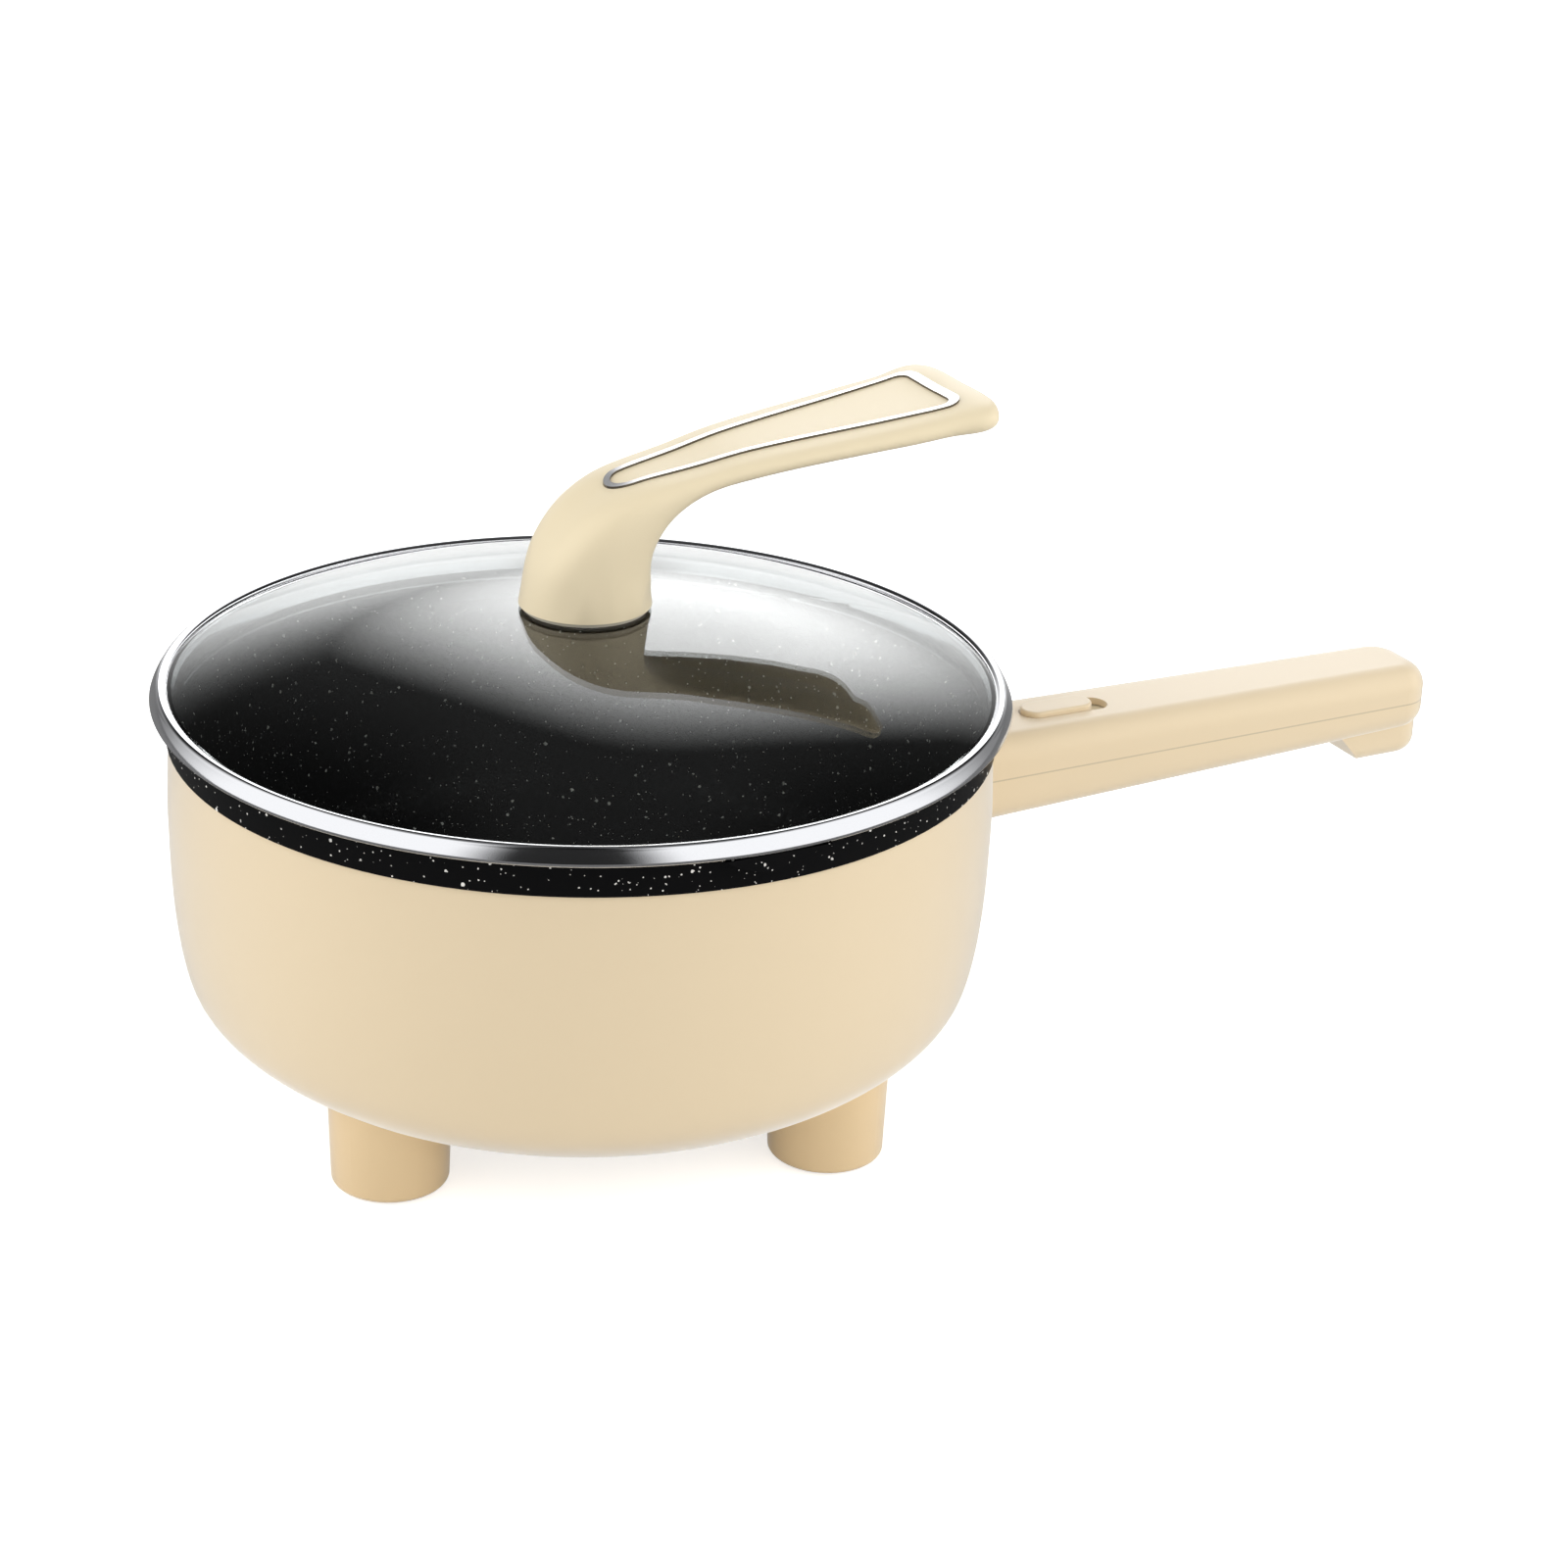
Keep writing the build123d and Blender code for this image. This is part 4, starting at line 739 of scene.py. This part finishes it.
def rim_profile():
    """The rolled rim in section: outer bead, crest, lip on the glass and skirt inside the pot."""
    low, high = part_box("lid_rim")
    outer, bottom, top = high[0], low[2], high[2]
    seat = bottom + RIM_SEAT

    def spot(inwards, upwards):
        """A place so many millimetres in from the rim's outside and up from its seat."""
        return Vector((outer - inwards * MM, seat + upwards * MM))

    foot, edge, shoulder = spot(2.6, 0), spot(0, 1.5), spot(1.75, 5.0)
    foot_bulge, flank, shoulder_bulge = spot(0.6, 0.5), spot(0.73, 3.3), spot(2.2, 5.64)
    root, inner = spot(7.8, 0), spot(8.6, 0.8)
    crest = Vector((outer - CREST_INSET, top))
    lip = Vector((crest.x - LIP_WIDTH, top - LIP_DROP))
    tip = Vector((outer - TIP_INSET, bottom))
    inner_tip = Vector((outer - INNER_TIP_INSET, bottom))

    lip_radius = (LIP_WIDTH**2 + LIP_DROP**2) / (2 * LIP_DROP)
    runs = [LIP_WIDTH * step / LIP_STEPS for step in range(1, LIP_STEPS)]
    slope = [
        Vector((crest.x - run, top - lip_radius + sqrt(lip_radius**2 - run**2)))
        for run in runs
    ]
    profile = arc_points(foot, foot_bulge, edge, 10)
    profile += arc_points(edge, flank, shoulder, 12)[1:]
    profile += arc_points(shoulder, shoulder_bulge, crest, 8)[1:]
    profile += slope
    # Each corner with the places before and after it, its radius in millimetres and its steps.
    corners = (
        (slope[-1], lip, inner, 0.3, 4),
        (lip, inner, inner_tip, 0.5, 6),
        (inner, inner_tip, tip, 0.38, 5),
        (inner_tip, tip, root, 0.38, 5),
        (tip, root, foot, 0.5, 5),
    )
    for before, corner, after, radius, steps in corners:
        profile += rounded_corner(before, corner, after, radius * MM, steps)
    return profile


class COOKER_OT_lid(Operator):
    """Finishes the lid's glass and central fastening and rolls its steel rim"""

    bl_idname = "cooker.lid"
    bl_label = "Finish the lid"

    def execute(self, context):
        colours = settings().colours
        glass = tempered_glass("tempered_glass_clear", tuple(colours.glass))
        finish_nodes(glass, "lid_glass")
        # Stainless steel, rolled and polished: near mirror with bright and dark bands.
        steel = worked_metal(
            "stainless_steel_polished",
            tuple(colours.steel),
            roughness=0.1,
            mark_spacing=0.4 * MM,
        )
        finish_nodes(steel, "lid_rim")
        ring = turned_piece("rolled_rim", rim_profile(), RIM_SEGMENTS, steel, "lid")
        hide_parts("lid_rim")
        # Silicone seals: matt grey-beige where the handle and the screw meet the glass.
        seal = moulded_rubber("silicone_rubber_seal", tuple(colours.silicone))
        finish_nodes(seal, "lid_gasket", "lid_washer")
        # Turned stainless steel: the same grey, with a softer shine.
        turned = worked_metal(
            "stainless_steel_turned",
            tuple(colours.steel),
            roughness=0.25,
            mark_spacing=0.3 * MM,
        )
        finish_nodes(turned, "lid_plate", "lid_screw")
        return {"FINISHED"}


class COOKER_OT_lid_handle(Operator):
    """Finishes the lid's handle and its bright trim"""

    bl_idname = "cooker.lid_handle"
    bl_label = "Finish the lid handle"

    def execute(self, context):
        colours, sizes = settings().colours, settings().sizes
        # Phenolic moulding: a pale even cream that pales less at its edges than the shell does.
        grip = moulded_plastic(
            "phenolic_grip_moulded",
            tuple(colours.lid_grip),
            roughness=0.38,
            grain=sizes.moulding_grain,
            sheen=0.35,
        )
        finish_nodes(grip, "lid_handle")
        # Chromium plate: a white line, partly a painted reflection, with brown-grey sides that are
        # painted shade along the frame.
        trim = plated_trim("chrome_trim_painted_shade_and_reflection", tuple(colours.chrome), linear(TRIM_SIDE_PAINTED_SHADE))
        finish_nodes(trim, "lid_trim")
        # Turned brass: warm yellow with a soft shine.
        brass = worked_metal(
            "brass_turned",
            linear(BRASS_TURNED),
            roughness=0.3,
            mark_spacing=0.3 * MM,
        )
        finish_nodes(brass, "lid_insert")
        return {"FINISHED"}


class COOKER_OT_main_handle(Operator):
    """Finishes the main handle's two shells and the slide switch"""

    bl_idname = "cooker.main_handle"
    bl_label = "Finish the main handle"

    def execute(self, context):
        colours, sizes = settings().colours, settings().sizes
        grain = sizes.moulding_grain
        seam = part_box("handle_upper")[0][2]
        # The shell's polypropylene, polished a little more where the hand holds it.
        cream = tuple(colours.shell)
        shell = moulded_plastic(
            "polypropylene_handle_moulded",
            cream,
            roughness=0.36,
            grain=grain,
            seam=seam,
        )
        finish_nodes(shell, "handle_upper", "handle_lower", "switch_button")
        # Filled polyamide: nearly black and dull.
        inside = moulded_plastic(
            "polyamide_dark_moulded",
            linear(POLYAMIDE_DARK),
            roughness=0.5,
            grain=grain,
        )
        finish_nodes(inside, "switch_body", "inlet_sleeve", "thermostat")
        # Undyed acetal: a creamy white with a waxy gloss.
        carrier = moulded_plastic(
            "acetal_natural_moulded",
            linear(ACETAL_NATURAL),
            roughness=0.42,
            grain=grain,
        )
        finish_nodes(carrier, "switch_carrier")
        return {"FINISHED"}


class COOKER_OT_works(Operator):
    """Finishes the hidden heater, leads and fasteners"""

    bl_idname = "cooker.works"
    bl_label = "Finish the works inside"

    def execute(self, context):
        # Zinc-plated steel: pale grey with a half-dull shine.
        zinc = worked_metal(
            "steel_zinc_plated",
            linear(ZINC_PLATE),
            roughness=0.35,
            mark_spacing=0.3 * MM,
        )
        finish_nodes(
            zinc,
            "leg_screws",
            "base_screws",
            "strap_screws",
            "cover_screws",
            "mount_screws",
            "mount_plate",
            "base_pillars",
            "heat_shield",
            "thermostat_strap",
            "earth_stud",
        )
        # Cast aluminium: light grey and dull, with the mould's coarse skin.
        cast = worked_metal(
            "aluminium_cast",
            linear(ALUMINIUM_CAST),
            roughness=0.5,
            mark_spacing=1.2 * MM,
        )
        finish_nodes(cast, "heating_plate")
        # Drawn steel that has been hot: a brownish grey.
        tube = worked_metal(
            "steel_heater_sheath",
            linear(HEATER_SHEATH),
            roughness=0.45,
            mark_spacing=0.5 * MM,
        )
        finish_nodes(tube, "heater_tube", "heater_terminals")
        # Stamped brass: bright yellow contacts.
        brass = worked_metal(
            "brass_stamped",
            linear(BRASS_STAMPED),
            roughness=0.28,
            mark_spacing=0.3 * MM,
        )
        finish_nodes(brass, "inlet_pins", "switch_blades")
        # Fired steatite: chalky white.
        ceramic = moulded_rubber("steatite_fired", linear(STEATITE))
        finish_nodes(ceramic, "heater_insulators", "thermal_fuse")
        # Extruded silicone round the leads: a soft matt grey.
        sheath = moulded_rubber("silicone_sheath_extruded", tuple(settings().colours.sheath))
        finish_nodes(sheath, "supply_lead", "load_lead", "neutral_lead", "earth_lead")
        return {"FINISHED"}


def turn_from(tree, place, ahead, right):
    """Angle, seen from above, by which a place lies to the right of the way ahead."""
    onward = add_node(
        tree,
        "ShaderNodeVectorMath",
        {"operation": "DOT_PRODUCT"},
        _0=place,
        _1=ahead,
    )
    aside = add_node(tree, "ShaderNodeVectorMath", {"operation": "DOT_PRODUCT"}, _0=place, _1=right)
    return add_node(
        tree,
        "ShaderNodeMath",
        {"operation": "ARCTAN2"},
        _0=aside.outputs["Value"],
        _1=onward.outputs["Value"],
    ).outputs[0]


def swing_from_front(tree, place):
    """Angle, seen from above, between a place and the cooker's front, the same on both hands."""
    azimuth = settings().studio.azimuth
    front = Vector((-sin(azimuth), -cos(azimuth), 0))
    right = Vector((cos(azimuth), -sin(azimuth), 0))
    turn = turn_from(tree, place, front, right)
    return add_node(tree, "ShaderNodeMath", {"operation": "ABSOLUTE"}, _0=turn).outputs[0]


def paper_material():
    """Matt white paper: white to the eye, and dark in reflections except at the back."""
    material, tree, shader = start_material("paper_sweep_white")
    path = add_node(tree, "ShaderNodeLightPath")
    glossy = path.outputs["Is Glossy Ray"]
    seen = add_node(
        tree,
        "ShaderNodeMath",
        {"operation": "MAXIMUM"},
        _0=path.outputs["Is Camera Ray"],
        _1=path.outputs["Is Transmission Ray"],
    ).outputs[0]
    swing = swing_from_front(tree, place_texture(tree))
    back = add_node(tree, "ShaderNodeMapRange", SMOOTH, Value=swing, **FLOOR_MIRRORED).outputs[0]
    mirrored = add_node(
        tree,
        "ShaderNodeMath",
        {"operation": "MULTIPLY"},
        _0=glossy,
        _1=back,
    ).outputs[0]
    clear = add_node(
        tree,
        "ShaderNodeMath",
        {"operation": "MAXIMUM"},
        _0=seen,
        _1=mirrored,
    ).outputs[0]
    glow = add_node(tree, "ShaderNodeMath", {"operation": "MULTIPLY"}, _0=clear, _1=FLOOR_GLOW)
    tree.links.new(glow.outputs[0], shader.inputs["Emission Strength"])
    dark = add_node(tree, "ShaderNodeMath", {"operation": "SUBTRACT"}, _0=1.0, _1=back).outputs[0]
    shaded = add_node(
        tree,
        "ShaderNodeMath",
        {"operation": "MULTIPLY"},
        _0=dark,
        _1=glossy,
    ).outputs[0]
    tree.links.new(tinted(tree, linear(PAPER), FLOOR_SHADE, shaded), shader.inputs["Base Color"])
    set_shader(shader, Roughness=0.9, Emission_Color=(1, 1, 1, 1))
    return material


def lay_floor():
    """A wide white sweep that shows white to the camera and keeps a soft shadow."""
    half = FLOOR_HALF_WIDTH
    mesh = bpy.data.meshes.new("studio_floor")
    mesh.from_pydata(
        [(-half, -half, 0), (half, -half, 0), (half, half, 0), (-half, half, 0)],
        [],
        [(0, 1, 2, 3)],
    )
    floor = bpy.data.objects.new("studio_floor", mesh)
    bpy.context.scene.collection.objects.link(floor)
    mesh.materials.append(paper_material())


def window_light(tree, place, height):
    """Level of the soft window, which hangs at the back and a little to the right."""
    bearing = settings().studio.azimuth + WINDOW_ASIDE
    towards = Vector((sin(bearing), cos(bearing), 0))
    across = Vector((cos(bearing), -sin(bearing), 0))
    aside = turn_from(tree, place, towards, across)
    elevation = add_node(tree, "ShaderNodeMath", {"operation": "ARCSINE"}, _0=height).outputs[0]
    above = add_node(
        tree,
        "ShaderNodeMath",
        {"operation": "SUBTRACT"},
        _0=elevation,
        _1=WINDOW_ELEVATION,
    ).outputs[0]
    squashed = add_node(
        tree,
        "ShaderNodeMath",
        {"operation": "MULTIPLY"},
        _0=above,
        _1=WINDOW_SQUASH,
    ).outputs[0]
    offset = add_node(tree, "ShaderNodeCombineXYZ", X=aside, Y=squashed).outputs[0]
    away = add_node(
        tree,
        "ShaderNodeVectorMath",
        {"operation": "LENGTH"},
        _0=offset,
    ).outputs["Value"]
    return add_node(tree, "ShaderNodeMapRange", SMOOTH, Value=away, **WINDOW_GLOW).outputs[0]


def light_room():
    """Surroundings: white to the camera, dark above and behind it, a soft window at the back."""
    world = bpy.data.worlds.new("studio_room")
    bpy.context.scene.world = world
    world.use_nodes = True
    tree = world.node_tree
    tree.nodes.clear()
    place = add_node(tree, "ShaderNodeTexCoord").outputs["Generated"]
    height = add_node(tree, "ShaderNodeSeparateXYZ", Vector=place).outputs["Z"]
    swing = swing_from_front(tree, place)
    walls = add_node(tree, "ShaderNodeMapRange", SMOOTH, Value=swing, **SIDE_WALLS).outputs[0]
    ceiling = add_node(tree, "ShaderNodeMapRange", SMOOTH, Value=height, **CEILING).outputs[0]
    around = add_node(
        tree,
        "ShaderNodeMath",
        {"operation": "MULTIPLY"},
        _0=walls,
        _1=ceiling,
    ).outputs[0]
    screen = add_node(tree, "ShaderNodeMapRange", SMOOTH, Value=height, **BACKDROP).outputs[0]
    fan = add_node(tree, "ShaderNodeMapRange", SMOOTH, Value=swing, **BACKDROP_FAN).outputs[0]
    backdrop = add_node(
        tree,
        "ShaderNodeMath",
        {"operation": "MULTIPLY"},
        _0=screen,
        _1=fan,
    ).outputs[0]
    window = window_light(tree, place, height)
    glow = add_node(
        tree,
        "ShaderNodeMath",
        {"operation": "MAXIMUM"},
        _0=backdrop,
        _1=window,
    ).outputs[0]
    behind = add_node(tree, "ShaderNodeMapRange", SMOOTH, Value=swing, **BACK_OF_ROOM).outputs[0]
    level = add_node(
        tree,
        "ShaderNodeMix",
        {"data_type": "FLOAT"},
        _0=behind,
        _2=around,
        _3=glow,
    ).outputs[0]
    path = add_node(tree, "ShaderNodeLightPath")
    strength = add_node(
        tree,
        "ShaderNodeMix",
        {"data_type": "FLOAT"},
        _0=path.outputs["Is Camera Ray"],
        _2=level,
        _3=1.0,
    ).outputs[0]
    background = add_node(tree, "ShaderNodeBackground", Color=(1, 1, 1, 1), Strength=strength)
    add_node(tree, "ShaderNodeOutputWorld", Surface=background.outputs[0])


def hang_lamps():
    """Square soft lamps at both sides, overhead and in front, which all face the pot."""
    azimuth = settings().studio.azimuth
    right = Vector((cos(azimuth), -sin(azimuth), 0))
    away = Vector((sin(azimuth), cos(azimuth), 0))
    for name, aside, onward, up, width, power in LAMPS:
        lamp = bpy.data.lights.new(name, "AREA")
        lamp.shape = "SQUARE"
        lamp.size = width
        lamp.energy = power
        holder = bpy.data.objects.new(name, lamp)
        bpy.context.scene.collection.objects.link(holder)
        place = aside * right + onward * away + Vector((0, 0, up))
        holder.location = place
        holder.rotation_euler = (LAMP_AIM - place).to_track_quat("-Z", "Y").to_euler()
        holder.visible_glossy = False
        holder.visible_transmission = False


def stand_camera():
    """Stands the camera where the cooker is seen at the photograph's angle."""
    studio = settings().studio
    camera = bpy.data.cameras.new("studio_camera")
    camera.lens = studio.lens
    camera.sensor_width = SENSOR_WIDTH
    holder = bpy.data.objects.new("studio_camera", camera)
    bpy.context.scene.collection.objects.link(holder)
    turn = (
        Matrix.Rotation(-studio.azimuth, 4, "Z")
        @ Matrix.Rotation(pi / 2 - studio.elevation, 4, "X")
        @ Matrix.Rotation(studio.roll, 4, "Z")
    )
    holder.matrix_world = Matrix.Translation(studio.camera_place) @ turn
    bpy.context.scene.camera = holder
    bpy.context.scene.view_settings.view_transform = "Standard"


class COOKER_OT_stage(Operator):
    """Sets the floor, the lamps, the surroundings and the camera"""

    bl_idname = "cooker.stage"
    bl_label = "Set the studio"

    def execute(self, context):
        lay_floor()
        light_room()
        hang_lamps()
        stand_camera()
        return {"FINISHED"}


class CookerSettings(PropertyGroup):
    """All that a user can change on the cooker."""

    colours: PointerProperty(type=CookerColours)
    sizes: PointerProperty(type=CookerSizes)
    studio: PointerProperty(type=CookerStudio)


STEPS = (
    COOKER_OT_housing,
    COOKER_OT_pads,
    COOKER_OT_pot,
    COOKER_OT_lid,
    COOKER_OT_lid_handle,
    COOKER_OT_main_handle,
    COOKER_OT_works,
    COOKER_OT_stage,
)


class COOKER_PT_panel(Panel):
    """Lists the steps that dress the cooker"""

    bl_idname = "COOKER_PT_panel"
    bl_label = "Multicooker"
    bl_space_type = "VIEW_3D"
    bl_region_type = "UI"
    bl_category = "Multicooker"

    def draw(self, context):
        for step in STEPS:
            self.layout.operator(step.bl_idname)
        for group in (settings().colours, settings().sizes, settings().studio):
            box = self.layout.box()
            for name in group.__annotations__:
                box.prop(group, name)


CLASSES = (CookerColours, CookerSizes, CookerStudio, CookerSettings, *STEPS, COOKER_PT_panel)


def register():
    for each in CLASSES:
        bpy.utils.register_class(each)
    bpy.types.Scene.cooker = PointerProperty(type=CookerSettings)


def unregister():
    del bpy.types.Scene.cooker
    for each in reversed(CLASSES):
        bpy.utils.unregister_class(each)


def main():
    """Runs every step in order."""
    register()
    bpy.ops.cooker.housing()
    bpy.ops.cooker.pads()
    bpy.ops.cooker.pot()
    bpy.ops.cooker.lid()
    bpy.ops.cooker.lid_handle()
    bpy.ops.cooker.main_handle()
    bpy.ops.cooker.works()
    bpy.ops.cooker.stage()


if __name__ == "__main__":
    main()
